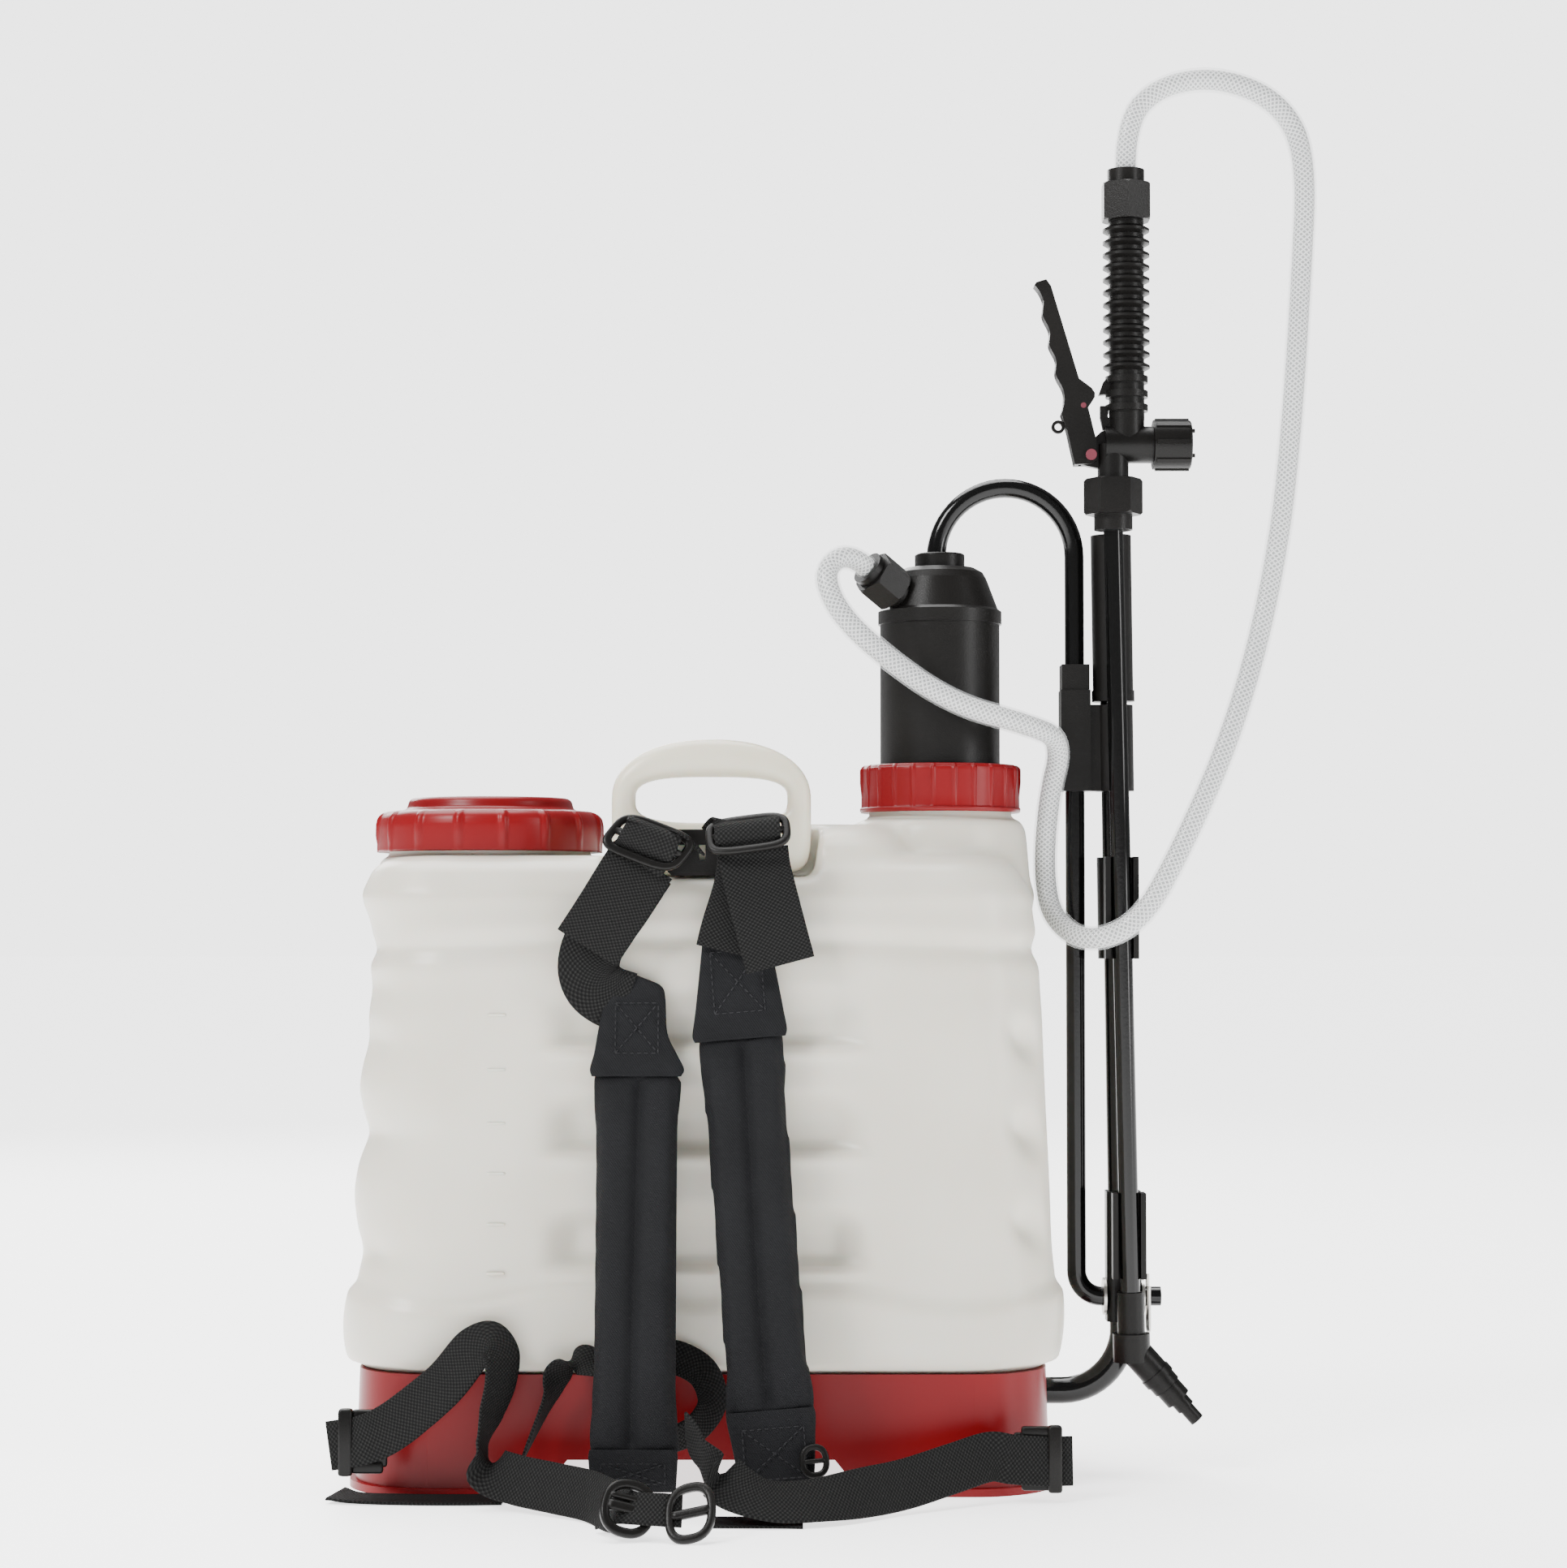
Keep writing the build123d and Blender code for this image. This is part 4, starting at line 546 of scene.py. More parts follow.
BRAID_PITCH = 28.0


def route_line(route):
    """The smooth line of a NURBS spline with the route as its control points."""
    curve = bpy.data.curves.new("route", "CURVE")
    curve.dimensions = "3D"
    curve.resolution_u = 16
    line = curve.splines.new("NURBS")
    line.points.add(len(route) - 1)
    for point, control in zip(line.points, route):
        point.co = (*control, 1)
    line.order_u = 3
    line.use_endpoint_u = True
    carrier = bpy.data.objects.new("route", curve)
    mesh = bpy.data.meshes.new_from_object(carrier)
    points = [v.co / MM for v in mesh.vertices]
    bpy.data.objects.remove(carrier)
    return points


def evenly(points, step):
    """The same line with points a fixed step apart."""
    rows = np.array([list(p) for p in points])
    runs = np.linalg.norm(np.diff(rows, axis=0), axis=1)
    far = np.concatenate([[0], np.cumsum(runs)])
    count = max(2, round(far[-1] / step) + 1)
    at = np.linspace(0, far[-1], count)
    return np.stack([np.interp(at, far, rows[:, k]) for k in range(3)], 1)


def carried_frames(line):
    """A side and an up direction at each point, turning as little as possible along the line."""
    tangents = np.gradient(line, axis=0)
    tangents /= np.linalg.norm(tangents, axis=1)[:, None]
    side = np.cross(tangents[0], (0, 0, 1.0))
    side /= np.linalg.norm(side)
    frames = []
    for tangent in tangents:
        side = side - tangent * side.dot(tangent)
        side /= np.linalg.norm(side)
        frames.append((side, np.cross(tangent, side)))
    return frames


def tube(line, frames, radius, around=20):
    rings = []
    for centre, (side, up) in zip(line, frames):
        rings.append([tuple(centre + radius * (side * cos(a) + up * sin(a)))
                      for a in np.linspace(0, 2 * pi, around, endpoint=False)])
    return loft(rings, capped=False)


def strand(line, frames, travelled, phase, hand, radius, width, height):
    """One flat yarn wound round the line."""
    rings = []
    for centre, (side, up), far in zip(line, frames, travelled):
        turn = phase + hand * 2 * pi * far / BRAID_PITCH
        half = width / 2 / radius
        ring = []
        for angle, r in ((turn - half, radius), (turn, radius + height), (turn + half, radius)):
            ring.append(tuple(centre + r * (side * cos(angle) + up * sin(angle))))
        rings.append(ring)
    points = [p for ring in rings for p in ring]
    faces = []
    for i in range(len(rings) - 1):
        a, b = 3 * i, 3 * i + 3
        faces += [(a, a + 1, b + 1, b), (a + 1, a + 2, b + 2, b + 1)]
    return points, faces


def make_hose():
    """The braided hose in three stretches, with one braid running through all of them."""
    routes = {"hose_lower": HOSE_LOWER, "hose_middle": HOSE_MIDDLE, "hose_upper": HOSE_UPPER}
    lines = {name: evenly(route_line(route), 1.3) for name, route in routes.items()}
    whole = np.vstack([lines["hose_lower"], lines["hose_middle"][1:], lines["hose_upper"][1:]])
    frames = carried_frames(whole)
    travelled = np.concatenate([[0], np.cumsum(np.linalg.norm(np.diff(whole, axis=0), axis=1))])
    pieces, start = {}, 0
    for name, line in lines.items():
        stop = start + len(line)
        part = slice(start, stop)
        skins = [tube(line, frames[part], HOSE_R), tube(line, frames[part], CORE_R)]
        for hand in (-1, 1):
            for k in range(STRANDS):
                skins.append(strand(line, frames[part], travelled[part], 2 * pi * k / STRANDS, hand,
                                    CORE_R + 0.05, 1.25, 0.22))
        points, faces = merge(*skins)
        piece = add_piece(name + "_braided", points, faces, HOSE_WALL_SHADED)
        # the inner core's dark grey is painted shade seen through the clear wall
        piece.data.materials.append(HOSE_CORE_SHADE)
        piece.data.materials.append(BRAID)
        wall_faces, core_faces = len(skins[0][1]), len(skins[1][1])
        marks = [0] * wall_faces + [1] * core_faces
        marks += [2] * (len(faces) - len(marks))
        piece.data.polygons.foreach_set("material_index", marks)
        piece.data.update()
        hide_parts(name)
        pieces[name] = (piece, line)
        start = stop - 1
    return pieces


hoses = make_hose()
for name, a, b in (("hose_lower", "chamber", "tank"), ("hose_middle", "tank", "lever"),
                   ("hose_upper", "lever", "lance")):
    piece, line = hoses[name]
    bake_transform(piece)


# ---------- soft goods ----------

WEB_THICKNESS = 1.5
PAD_WIDTH, PAD_SLOPE, PAD_Y = 48.0, 0.16, -100.5


def facing_frame(origin, across, up):
    """A map from (across, up, towards the wearer) to the part's frame."""
    u = Vector(across).normalized()
    out = u.cross(Vector(up)).normalized()
    v = out.cross(u)
    return lambda a, b, c=0.0: tuple(Vector(origin) + u * a + v * b + out * c)


def pad_frame(x, z, lean):
    turn = radians(lean)
    return facing_frame((x, PAD_Y, z), (cos(turn), 0, sin(turn)), (-sin(turn), PAD_SLOPE, cos(turn)))


def oval(half_width, half_depth, count=36, power=2.6):
    """A rounded-rectangle section as (across, out) pairs."""
    ring = []
    for k in range(count):
        c, s = cos(2 * pi * k / count), sin(2 * pi * k / count)
        ring.append((half_width * abs(c) ** (2 / power) * (1 if c > 0 else -1),
                     half_depth * abs(s) ** (2 / power) * (1 if s > 0 else -1)))
    return ring


def make_pad_body(name, where, length):
    """The foam part, a little slimmer than it ends up."""
    rings = []
    for v in np.linspace(0, -length, 40):
        end = min(-v, length + v)
        plump = 0.45 + 0.55 * float(smoothstep(0, 9, end))
        rings.append([where(a, v, c) for a, c in oval(PAD_WIDTH / 2 - 0.4, 5.6 * plump, 44, 3.0)])
    points, faces = loft(rings)
    piece = add_piece(name, points, faces, PAD)
    remesh(piece, 3.2)
    relax(piece, 0.5, 4)
    return piece


def inflate(pieces, pressure, cap):
    """Blows the pieces up as cloth, and keeps each point within a cap of where it started."""
    starts = [coordinates(piece) for piece in pieces]
    for piece in pieces:
        cloth = piece.modifiers.new("cloth", "CLOTH")
        cloth.settings.use_pressure = True
        cloth.settings.uniform_pressure_force = pressure
        cloth.settings.effector_weights.gravity = 0
        cloth.settings.quality = 6
        cloth.settings.tension_stiffness = 20
        cloth.point_cache.frame_start, cloth.point_cache.frame_end = 1, 20
    for number in range(1, 21):
        bpy.context.scene.frame_set(number)
    for piece, start in zip(pieces, starts):
        apply_modifiers(piece)
        moved = coordinates(piece) - start
        far = np.linalg.norm(moved, axis=1)[:, None]
        set_coordinates(piece, start + moved * np.minimum(1, cap / np.maximum(far, 1e-6)))
    bpy.context.scene.frame_set(1)


def subdivide(piece):
    modifier = piece.modifiers.new("subdivide", "SUBSURF")
    modifier.levels = modifier.render_levels = 1
    apply_modifiers(piece)


def crease_pad(piece, x, z, lean, length):
    """The sewn channel down the middle, the folded edges and a few soft wrinkles."""
    turn = radians(lean)
    across = np.array((cos(turn), 0, sin(turn)))
    up = np.array(Vector((-sin(turn), PAD_SLOPE, cos(turn))).normalized())
    out = np.cross(across, up)
    co = coordinates(piece)
    rest = co - np.array((x, PAD_Y, z))
    u, v, w = rest @ across, rest @ up, rest @ out
    front = smoothstep(0, 3, w)
    inside = smoothstep(0, 10, np.minimum(-v, length + v))
    middle = 1.5 * np.sin(v / 70 + 1)
    channel = 3.6 * np.exp(-np.abs((u - middle) / 2.4) ** 1.4) + 1.6 * np.exp(-((u - middle) / 9) ** 2)
    edge = 0.9 * np.exp(-((np.abs(u) - PAD_WIDTH / 2 + 4.6) / 1.5) ** 2)
    wrinkle = 0.35 * np.sin(v / 7 + 2.2 * np.sin(u / 8)) * np.exp(-((np.abs(u) - 15) / 7) ** 2)
    co += out * ((-channel - edge + wrinkle) * front * inside)[:, None]
    set_coordinates(piece, co)


def sewn_cover(name, where, outline, thickness=3.6):
    """A flat sewn end of a pad. outline rows: height, left, right, how far out."""
    rings = []
    for height, left, right, out in spline(outline, 6):
        middle, half = (left + right) / 2, (right - left) / 2
        ring = []
        for a, c in oval(half, thickness / 2, 32, 3.2):
            pucker = 0.35 * sin(height / 2.4 + a / 5) * sin(a / 3.1)
            ring.append(where(middle + a, height, out + c + (pucker if c > 0 else 0)))
        rings.append(ring)
    points, faces = loft(rings)
    return add_piece(name, points, faces, PAD)


def stitches(name, runs, dash=2.4, gap=1.3, radius=0.34):
    """Rows of thread dashes along straight runs between points."""
    skins = []
    for start, end in runs:
        start, end = np.array(start, float), np.array(end, float)
        far = np.linalg.norm(end - start)
        way = (end - start) / far
        for at in np.arange(0, far - dash, dash + gap):
            line = np.array([start + way * (at + t * dash) for t in (0, 0.15, 0.5, 0.85, 1)])
            frames = carried_frames(line)
            rings = []
            for centre, (side, up), size in zip(line, frames, (0.3, 0.9, 1, 0.9, 0.3)):
                rings.append([tuple(centre + radius * size * (side * cos(a) + up * sin(a)))
                              for a in np.linspace(0, 2 * pi, 6, endpoint=False)])
            skins.append(loft(rings))
    points, faces = merge(*skins)
    return add_piece(name, points, faces, THREAD)


def ribbon(name, controls, width, finish=None, per_run=12):
    """Flat webbing. Each control row is a point and the direction across the strap there."""
    rows = spline(controls, per_run)
    line, across = rows[:, :3], rows[:, 3:6]
    across = across / np.linalg.norm(across, axis=1)[:, None]
    tangents = np.gradient(line, axis=0)
    tangents /= np.linalg.norm(tangents, axis=1)[:, None]
    across -= tangents * np.sum(across * tangents, axis=1)[:, None]
    across /= np.linalg.norm(across, axis=1)[:, None]
    travelled = np.concatenate([[0], np.cumsum(np.linalg.norm(np.diff(line, axis=0), axis=1))])
    half, thick = width / 2, WEB_THICKNESS / 2
    section = [(-half, 0.35), (-half + 0.7, 1), *((a, 1) for a in np.linspace(-half + 3, half - 3, 7)),
               (half - 0.7, 1), (half, 0.35)]
    section += [(a, -c) for a, c in reversed(section)]
    points, uvs = [], []
    for centre, side, tangent, far in zip(line, across, tangents, travelled):
        out = np.cross(side, tangent)
        for a, c in section:
            points.append(tuple(centre + side * a + out * c * thick))
            uvs.append((a * MM, far * MM))
    faces = ring_faces(len(line), len(section))
    count = len(section)
    last = (len(line) - 1) * count
    faces += [tuple(reversed(range(count))), tuple(last + j for j in range(count))]
    piece = add_piece(name, points, faces, finish or WEB, uvs)
    return piece, float(travelled[-1])


def strap(name, controls, width, finish=None, replaces=()):
    """A ribbon of webbing on the tank's body, hiding the CAD parts it replaces."""
    piece, length = ribbon(name, controls, width, finish)
    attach(piece, "tank")
    if replaces:
        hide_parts(*replaces)


PAD_LENGTH = 196
PAD_TOPS = ((-33, 220, 0), (20, 239, 4.8))  # x and z of each pad's top, and its lean in degrees


def make_pads():
    """Two foam pads blown up as cloth, each with a sewn cover and a crossed seam at both ends."""
    left, right = (pad_frame(*top) for top in PAD_TOPS)
    bodies = [make_pad_body("pad_left_body", left, PAD_LENGTH),
              make_pad_body("pad_right_body", right, PAD_LENGTH)]
    inflate(bodies, 4, 2.2)
    for body, top in zip(bodies, PAD_TOPS):
        subdivide(body)
        crease_pad(body, *top, PAD_LENGTH)
    covers = [
        sewn_cover("pad_left_head", left, [
            (-4, -23, 23, 3.4), (0, -24, 24.4, 2.4), (8, -22, 20.5, 1.2), (19, -20.2, 15.6, 0.6),
            (36, -17, 14.6, 0.4), (43, -14, 12.5, 0.4), (47, -12, 4, 0.4), (50, -11.5, -4, 0.4)]),
        sewn_cover("pad_right_head", right, [
            (-4, -23.4, 23.4, 3.4), (0, -24.4, 24.4, 2.4), (10, -22.4, 23.4, 1.2), (32, -18.4, 21, 0.4),
            (48, -15.6, 19, 0.2), (54, -14.4, 18, 0.2), (57, -6, 17, 0.2), (59, 0, 15, 0.2)]),
        sewn_cover("pad_left_tail", left, [
            (-192, -22, 22, 3.0), (-196, -22.6, 22.4, 2.0), (-204, -22, 22, 0.6), (-213, -21.5, 21.5, 0.2)]),
        sewn_cover("pad_right_tail", right, [
            (-192, -22, 22, 3.0), (-196, -22.4, 22.6, 2.0), (-206, -21, 21.6, 0.6),
            (-222, -19, 20, 0.2), (-231, -17.5, 18.5, 0.2)]),
    ]
    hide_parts("pad_left")
    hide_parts("pad_right")
    for piece in bodies + covers:
        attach(piece, "tank")
    crosses = []
    for where, boxes in ((left, ((-11, 11, 8, 34), (-16, 16, -209, -199))),
                         (right, ((-12, 14, 10, 42), (-15, 16, -226, -201)))):
        for x0, x1, z0, z1 in boxes:
            front = 3.1
            a, b = where(x0, z0, front), where(x1, z1, front)
            c, d = where(x0, z1, front), where(x1, z0, front)
            crosses += [(a, b), (c, d), (a, d), (c, b), (a, c), (d, b)]
    thread = stitches("pad_stitches", crosses)
    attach(thread, "tank")


make_pads()


def ring_buckle(name, where, width, height, bar_width, corner, bars=(), depth=3.2, skew=0.0):
    """A moulded frame with rounded edges and cross bars. where maps (across, up, out)."""
    def outline(t):
        """A point on the frame's middle line, t from 0 to 1."""
        w, h = width / 2 - bar_width / 2, height / 2 - bar_width / 2
        angle = 2 * pi * t
        c, s = cos(angle), sin(angle)
        power = min(max(2 * min(w, h) / corner, 2.4), 9)
        r = (abs(c / w) ** power + abs(s / h) ** power) ** (-1 / power)
        return r * c, r * s

    count = 96
    middle = [outline(k / count) for k in range(count)]
    rings = []
    for k, (x, y) in enumerate(middle):
        (x0, y0), (x1, y1) = middle[k - 1], middle[(k + 1) % count]
        nx, ny = y1 - y0, x0 - x1
        size = (nx * nx + ny * ny) ** 0.5
        nx, ny = nx / size, ny / size
        rings.append([where(x + nx * a + skew * (y + ny * a), y + ny * a, c)
                      for a, c in oval(bar_width / 2, depth / 2, 14, 3)])
    skins = [loft(rings, closed=True)]
    for level, size in bars:
        ends = np.linspace(-width / 2 + bar_width * 0.7, width / 2 - bar_width * 0.7, 8)
        section = oval(size / 2, depth / 2, 14, 3)
        skins.append(loft([[where(x + skew * level, level + a, c) for a, c in section] for x in ends]))
    points, faces = merge(*skins)
    piece = add_piece(name, points, faces, BLACK)
    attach(piece, "tank")
    return piece


def make_shoulder_buckles():
    """The two triglides at the straps' top, with the webbing that turns round them and hangs down."""
    left = facing_frame((-27, -106.5, 336.5), (0.93, -0.12, -0.36), (0.30, 0.35, 0.85))
    right = facing_frame((24.3, -106.5, 341), (0.985, -0.05, 0.125), (-0.10, 0.62, 0.80))
    triglide = ring_buckle("triglide_left", left, 43, 25, 4.4, 5, ((0, 4.0),), skew=0.25)
    ring_buckle("triglide_right", right, 44, 24, 4.4, 5, ((0, 4.0),))
    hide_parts("triglides")
    strap("buckle_turn_left", [
        (-36.5, -101.5, 325, 0.93, -0.12, -0.36), (-31.5, -106, 329, 0.93, -0.12, -0.36),
        (-27.5, -110.6, 335.5, 0.93, -0.12, -0.36), (-24, -109.5, 342.5, 0.93, -0.12, -0.36),
        (-22.5, -102.5, 345, 0.93, -0.12, -0.36), (-14, -95, 341, 0.85, -0.3, -0.4),
        (-6, -87, 336, 0.7, -0.4, -0.5)],
        30)
    strap("buckle_turn_right", [
        (25, -101, 331, 0.985, -0.05, 0.125), (24.6, -106.5, 334.5, 0.985, -0.05, 0.125),
        (24, -110.8, 340, 0.985, -0.05, 0.125), (23.6, -107.5, 346.4, 0.985, -0.05, 0.125),
        (22, -98, 347, 0.985, -0.05, 0.125), (15, -88, 338, 0.9, -0.2, 0.1)],
        34)
    strap("strap_left_tail", [
        (-30, -103.5, 327.5, 0.92, 0.10, -0.30), (-36, -105.5, 318, 0.89, 0.10, -0.36),
        (-47, -107, 300, 0.86, 0.16, -0.42), (-58.5, -106, 282.5, 0.87, 0.2, -0.43)],
        36, replaces=("strap_left",))
    strap("strap_left_loop", [
        (-29, -99.5, 324, 0.9, 0.1, -0.38), (-42, -99, 304, 0.87, 0.1, -0.45),
        (-54, -98.5, 287, 0.90, 0.1, -0.40), (-58, -98, 274, 0.99, 0.15, -0.05),
        (-55.5, -97, 264, 0.93, 0.1, 0.35), (-48, -96, 257.5, 0.70, 0, 0.71),
        (-38, -95.6, 254, 0.50, 0, 0.87)],
        32)
    strap("strap_right_tail", [
        (27, -103.5, 333, 0.99, 0.02, 0.12), (28.5, -106, 322, 0.985, 0.05, 0.14),
        (34, -108, 300, 0.975, 0.05, 0.21), (41, -106.5, 273.5, 0.965, 0.03, 0.25)],
        36, replaces=("strap_right",))
    strap("strap_right_loop", [
        (26, -100.8, 331, 0.99, 0, 0.12), (23, -100.6, 312, 0.98, 0, 0.15),
        (17, -99.8, 292, 0.96, 0, -0.2), (14, -98.9, 280, 0.95, 0, -0.3)],
        34)


make_shoulder_buckles()


def make_lower_webbing():
    """The narrow webbing from the base's hooks to the waist buckle."""
    strap("lower_strap_left", [
        (-189.5, -106, 28.5, 0.1, 0.05, 1), (-181, -107.5, 30, 0.05, 0.05, 1),
        (-172, -109.5, 32, 0, 0.05, 1), (-162, -110, 36, -0.2, 0.1, 0.95),
        (-150, -111, 44, -0.40, 0.25, 0.85),
        (-130, -112, 61, -0.55, 0.40, 0.70), (-116, -112, 78, -0.50, 0.50, 0.70),
        (-107, -111, 83, 0.10, 0.75, 0.65), (-101, -112, 75, 0.55, 0.75, 0.35),
        (-101.5, -114, 61, 0.55, 0.80, -0.05), (-106, -117, 46, 0.42, 0.88, 0.0),
        (-110, -121, 31, 0.10, 0.90, 0.30), (-106, -126, 20, -0.30, 0.55, 0.78),
        (-92, -134, 16, -0.05, 0.25, 0.97), (-72, -147, 14, 0.1, 0.25, 0.96), (-54, -163, 13, 0, 0.35, 0.93),
        (-43, -183, 12, 0.1, 0.45, 0.88), (-35, -203, 13, 0.3, 0.55, 0.78)],
        25, replaces=("lower_straps",))
    strap("lower_strap_right", [
        (190, -106, 21, 0, 0.05, 1), (181, -107.5, 21, 0, 0.05, 1), (170, -109.5, 21.5, 0, 0.1, 1),
        (158, -110, 22.5, 0, 0.1, 1), (147, -112.5, 24, 0.1, 0.2, 0.97), (128, -124, 20, 0.25, 0.35, 0.9),
        (104, -140, 15, 0.30, 0.45, 0.84), (84, -156, 13.5, 0.1, 0.5, 0.86), (60, -170, 12, -0.35, 0.6, 0.72),
        (36, -176, 12.5, -0.55, 0.55, 0.62), (16, -172, 20, -0.65, 0.45, 0.62),
        (2, -160, 33, -0.5, 0.75, 0.3),
        (-6, -150, 46, -0.3, 0.9, 0.1)],
        25)
    strap("behind_left", [
        (-46, -106, 66, 0.2, 0.9, 0.1), (-62, -102.5, 72, 0.7, 0.5, 0.5), (-72, -102, 66, 0.75, 0.6, 0.1),
        (-76.5, -103, 54, 0.4, 0.9, 0.1), (-82, -107, 42, 0.2, 0.95, 0.1), (-90, -118, 24, 0.1, 0.95, 0.2)],
        20)
    strap("behind_middle", [
        (-24, -103, 74, 0.2, 0.3, 0.9), (-10, -101.5, 72, 0.3, 0.4, 0.85), (2, -101, 64, 0.6, 0.5, 0.6),
        (6, -103, 50, 0.8, 0.6, 0.1), (-2, -108, 38, 0.6, 0.6, -0.5), (-16, -114, 32, 0.2, 0.6, -0.7)],
        18)
    strap("strap_under_foot", [
        (-187, -99, 3.2, 0.1, 1, 0.1), (-176, -102, 1.6, 0.05, 1, 0.02), (-152, -104, 1.1, 0.02, 1, 0.02),
        (-124, -105, 1.1, 0, 1, 0.02), (-100, -106, 1.5, 0, 1, 0.02)],
        25, DARK_WEB)
    strap("waist_strap_flat", [
        (8, -170, 1.1, 0, 1, 0.02), (24, -171, 1.2, 0.02, 1, 0.02), (40, -172, 1.3, 0.02, 1, 0.02),
        (52, -172, 1.1, 0, 1, 0.02)],
        24, DARK_WEB, replaces=("waist_strap",))


make_lower_webbing()


def rounded_bar(x0, x1, half_depth, corner, y, low, high):
    """An upright bar with softened ends."""
    levels = ((low, 1.2), (low + 0.4, 0.4), (low + 1.4, 0), (high - 1.4, 0), (high - 0.4, 0.4), (high, 1.2))
    return loft([[(px, py + y, pz) for px, py, pz in
                  rounded_rectangle(x0 + trim, x1 - trim, half_depth - trim, corner, z)]
                 for z, trim in levels])


def make_side_hooks():
    """Ladder hooks at the base's corners: a tall bar across the webbing, on a plate behind it."""
    skins = []
    for side, low in ((-1, 14.5), (1, 6.0)):
        bar_x, plate_x = side * 181, side * 171
        skins.append(rounded_bar(bar_x - 3.6, bar_x + 3.6, 3.4, 1.4, -106.5, low - 1, low + 33))
        skins.append(rounded_bar(plate_x - 11, plate_x + 11, 1.9, 1.2, -103.4, low + 3, low + 29))
        for height in (low + 3, low + 29):
            skins.append(rounded_bar(plate_x - 7, plate_x + 9, 2.4, 1.2, -104, height - 3.2, height + 3.2))
    points, faces = merge(*skins)
    piece = add_piece("side_hooks_ladder", points, faces, BLACK)
    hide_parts("side_hooks")
    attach(piece, "tank")


make_side_hooks()


def make_waist_buckles():
    """Two buckles on the waist webbing and a small adjuster on the right lower strap."""
    oval_part = facing_frame((-32, -212, 15), (0.96, 0.1, -0.25), (0.35, 0.55, 0.80))
    loop_part = facing_frame((-2, -216, 13.5), (0.98, 0.0, 0.2), (-0.2, 0.55, 0.80))
    small = facing_frame((58, -139, 26), (0.95, 0, 0.1), (0, 0.2, 1))
    ring_buckle("waist_adjuster", oval_part, 27, 29, 4.6, 11, ((0, 5.5), (5, 3)), depth=4.5)
    waist_loop = ring_buckle("waist_buckle_loop", loop_part, 25, 30, 4.2, 8, ((0, 4.5),), depth=4.5,
                             skew=0.15)
    strap_ring = ring_buckle("strap_adjuster", small, 15, 17, 3.2, 5, ((0, 2.5),), depth=3)
    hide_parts("waist_buckle")
    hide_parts("adjusters")
    strap("waist_turn", [
        (-46, -190, 9, 0.2, 0.6, 0.8), (-40, -200, 12, 0.3, 0.6, 0.75), (-33, -211, 15, 0.35, 0.55, 0.8),
        (-20, -214, 15, 0.2, 0.55, 0.8), (-6, -213, 14, 0, 0.55, 0.8)],
        17)


make_waist_buckles()


# ---------- carry handle ----------

def make_carry_handle():
    """A hand loop, swept as an oval section between its outer and inner outlines."""
    x, half = 4.5, 52.5
    rings = []
    count = 120
    for k in range(count):
        angle = 2 * pi * k / count
        c, s = cos(angle), sin(angle)
        upper = s > 0
        outer_power = 2.25 if upper else 7
        w, h = half, (392 - 360) if upper else (360 - 320)
        r = (abs(c / w) ** outer_power + abs(s / h) ** outer_power) ** (-1 / outer_power)
        ox, oz = x + r * c, 360 + r * s
        w, h = 40, 12
        r = (abs(c / w) ** 3.2 + abs(s / h) ** 3.2) ** (-1 / 3.2)
        ix, iz = x + r * c, 360 + r * s
        middle = Vector(((ox + ix) / 2, -62.5, (oz + iz) / 2))
        reach = Vector(((ox - ix) / 2, 0, (oz - iz) / 2))
        depth = 9.4 + (0.6 * max(0, s))
        ring = []
        for a, b in oval(1, 1, 28, 2.8):
            seam = 0.5 * float(np.exp(-((a - 0) / 0.12) ** 2)) if upper and abs(b) > 0.9 else 0
            ring.append(tuple(middle + reach * a + Vector((0, (depth + seam) * b, 0))))
        rings.append(ring)
    points, faces = loft(rings, closed=True)
    piece = add_piece("handle_loop", points, faces, CREAM)
    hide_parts("carry_handle")
    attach(piece, "tank")


make_carry_handle()


# ---------- stage ----------

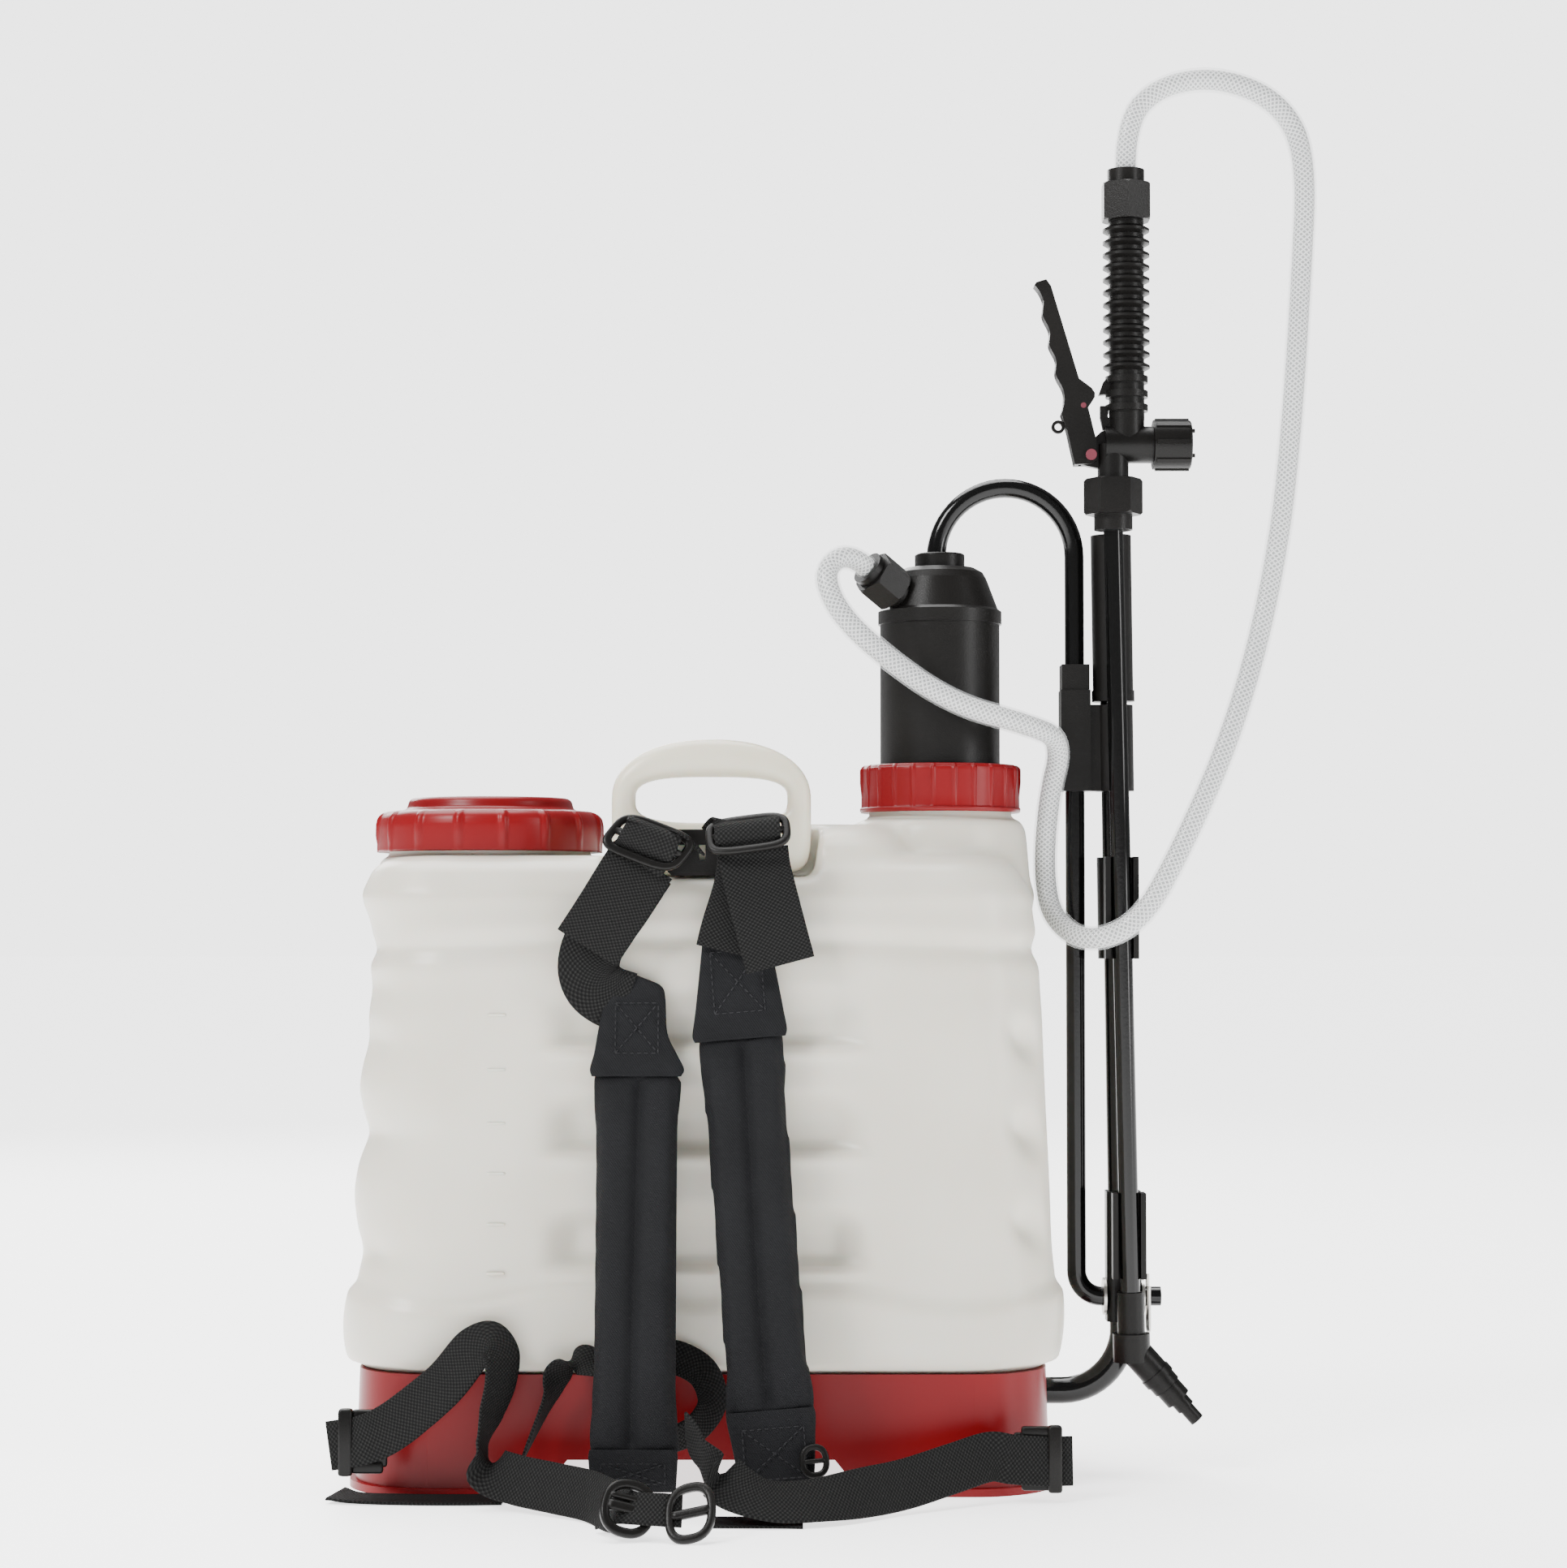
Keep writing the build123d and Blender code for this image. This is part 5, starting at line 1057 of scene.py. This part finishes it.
def make_stage():
    """A white floor that glows a little, under a backdrop that only the camera sees."""
    size = 30.0
    mesh = bpy.data.meshes.new("floor")
    corners = [(-size, -size, 0), (size, -size, 0), (size, size, 0), (-size, size, 0)]
    mesh.from_pydata(corners, [], [(0, 1, 2, 3)])
    floor = bpy.data.objects.new("floor", mesh)
    white = Finish("floor", (0.92, 0.92, 0.92), 0.6, Emission_Color=(1, 1, 1, 1), Emission_Strength=1.7)
    mesh.materials.append(white.material)
    bpy.context.scene.collection.objects.link(floor)
    world = bpy.data.worlds.new("studio")
    world.use_nodes = True
    light_on_object = world.node_tree.nodes["Background"]
    light_on_object.inputs["Color"].default_value = (1, 1, 1, 1)
    light_on_object.inputs["Strength"].default_value = 0.3
    backdrop = world.node_tree.nodes.new("ShaderNodeBackground")
    backdrop.inputs["Strength"].default_value = 4.3
    which = world.node_tree.nodes.new("ShaderNodeLightPath")
    mix = world.node_tree.nodes.new("ShaderNodeMixShader")
    links = world.node_tree.links
    links.new(which.outputs["Is Camera Ray"], mix.inputs["Fac"])
    links.new(light_on_object.outputs[0], mix.inputs[1])
    links.new(backdrop.outputs[0], mix.inputs[2])
    links.new(mix.outputs[0], world.node_tree.nodes["World Output"].inputs["Surface"])
    bpy.context.scene.world = world


def add_light(name, where, target, size, power):
    """A rectangular soft light; places and sizes in metres, power in watts."""
    data = bpy.data.lights.new(name, "AREA")
    data.shape = "RECTANGLE"
    data.size, data.size_y = size
    data.energy = power
    light = bpy.data.objects.new(name, data)
    light.location = where
    light.rotation_euler = (Vector(target) - Vector(where)).to_track_quat("-Z", "Y").to_euler()
    bpy.context.scene.collection.objects.link(light)


make_stage()
add_light("key", (-1.7, -1.7, 2.1), (0, 0, 0.25), (0.9, 0.9), 95)
add_light("fill", (2.3, -1.3, 1.0), (0.1, 0, 0.3), (0.5, 1.8), 34)
add_light("back", (-0.8, 2.2, 1.6), (0, 0, 0.3), (1.6, 1.2), 60)
overhead = bpy.data.lights.new("overhead", "SUN")
overhead.energy = 6.2
overhead.angle = radians(50)
overhead_light = bpy.data.objects.new("overhead", overhead)
overhead_light.rotation_euler = (radians(-12), radians(-10), 0)
bpy.context.scene.collection.objects.link(overhead_light)
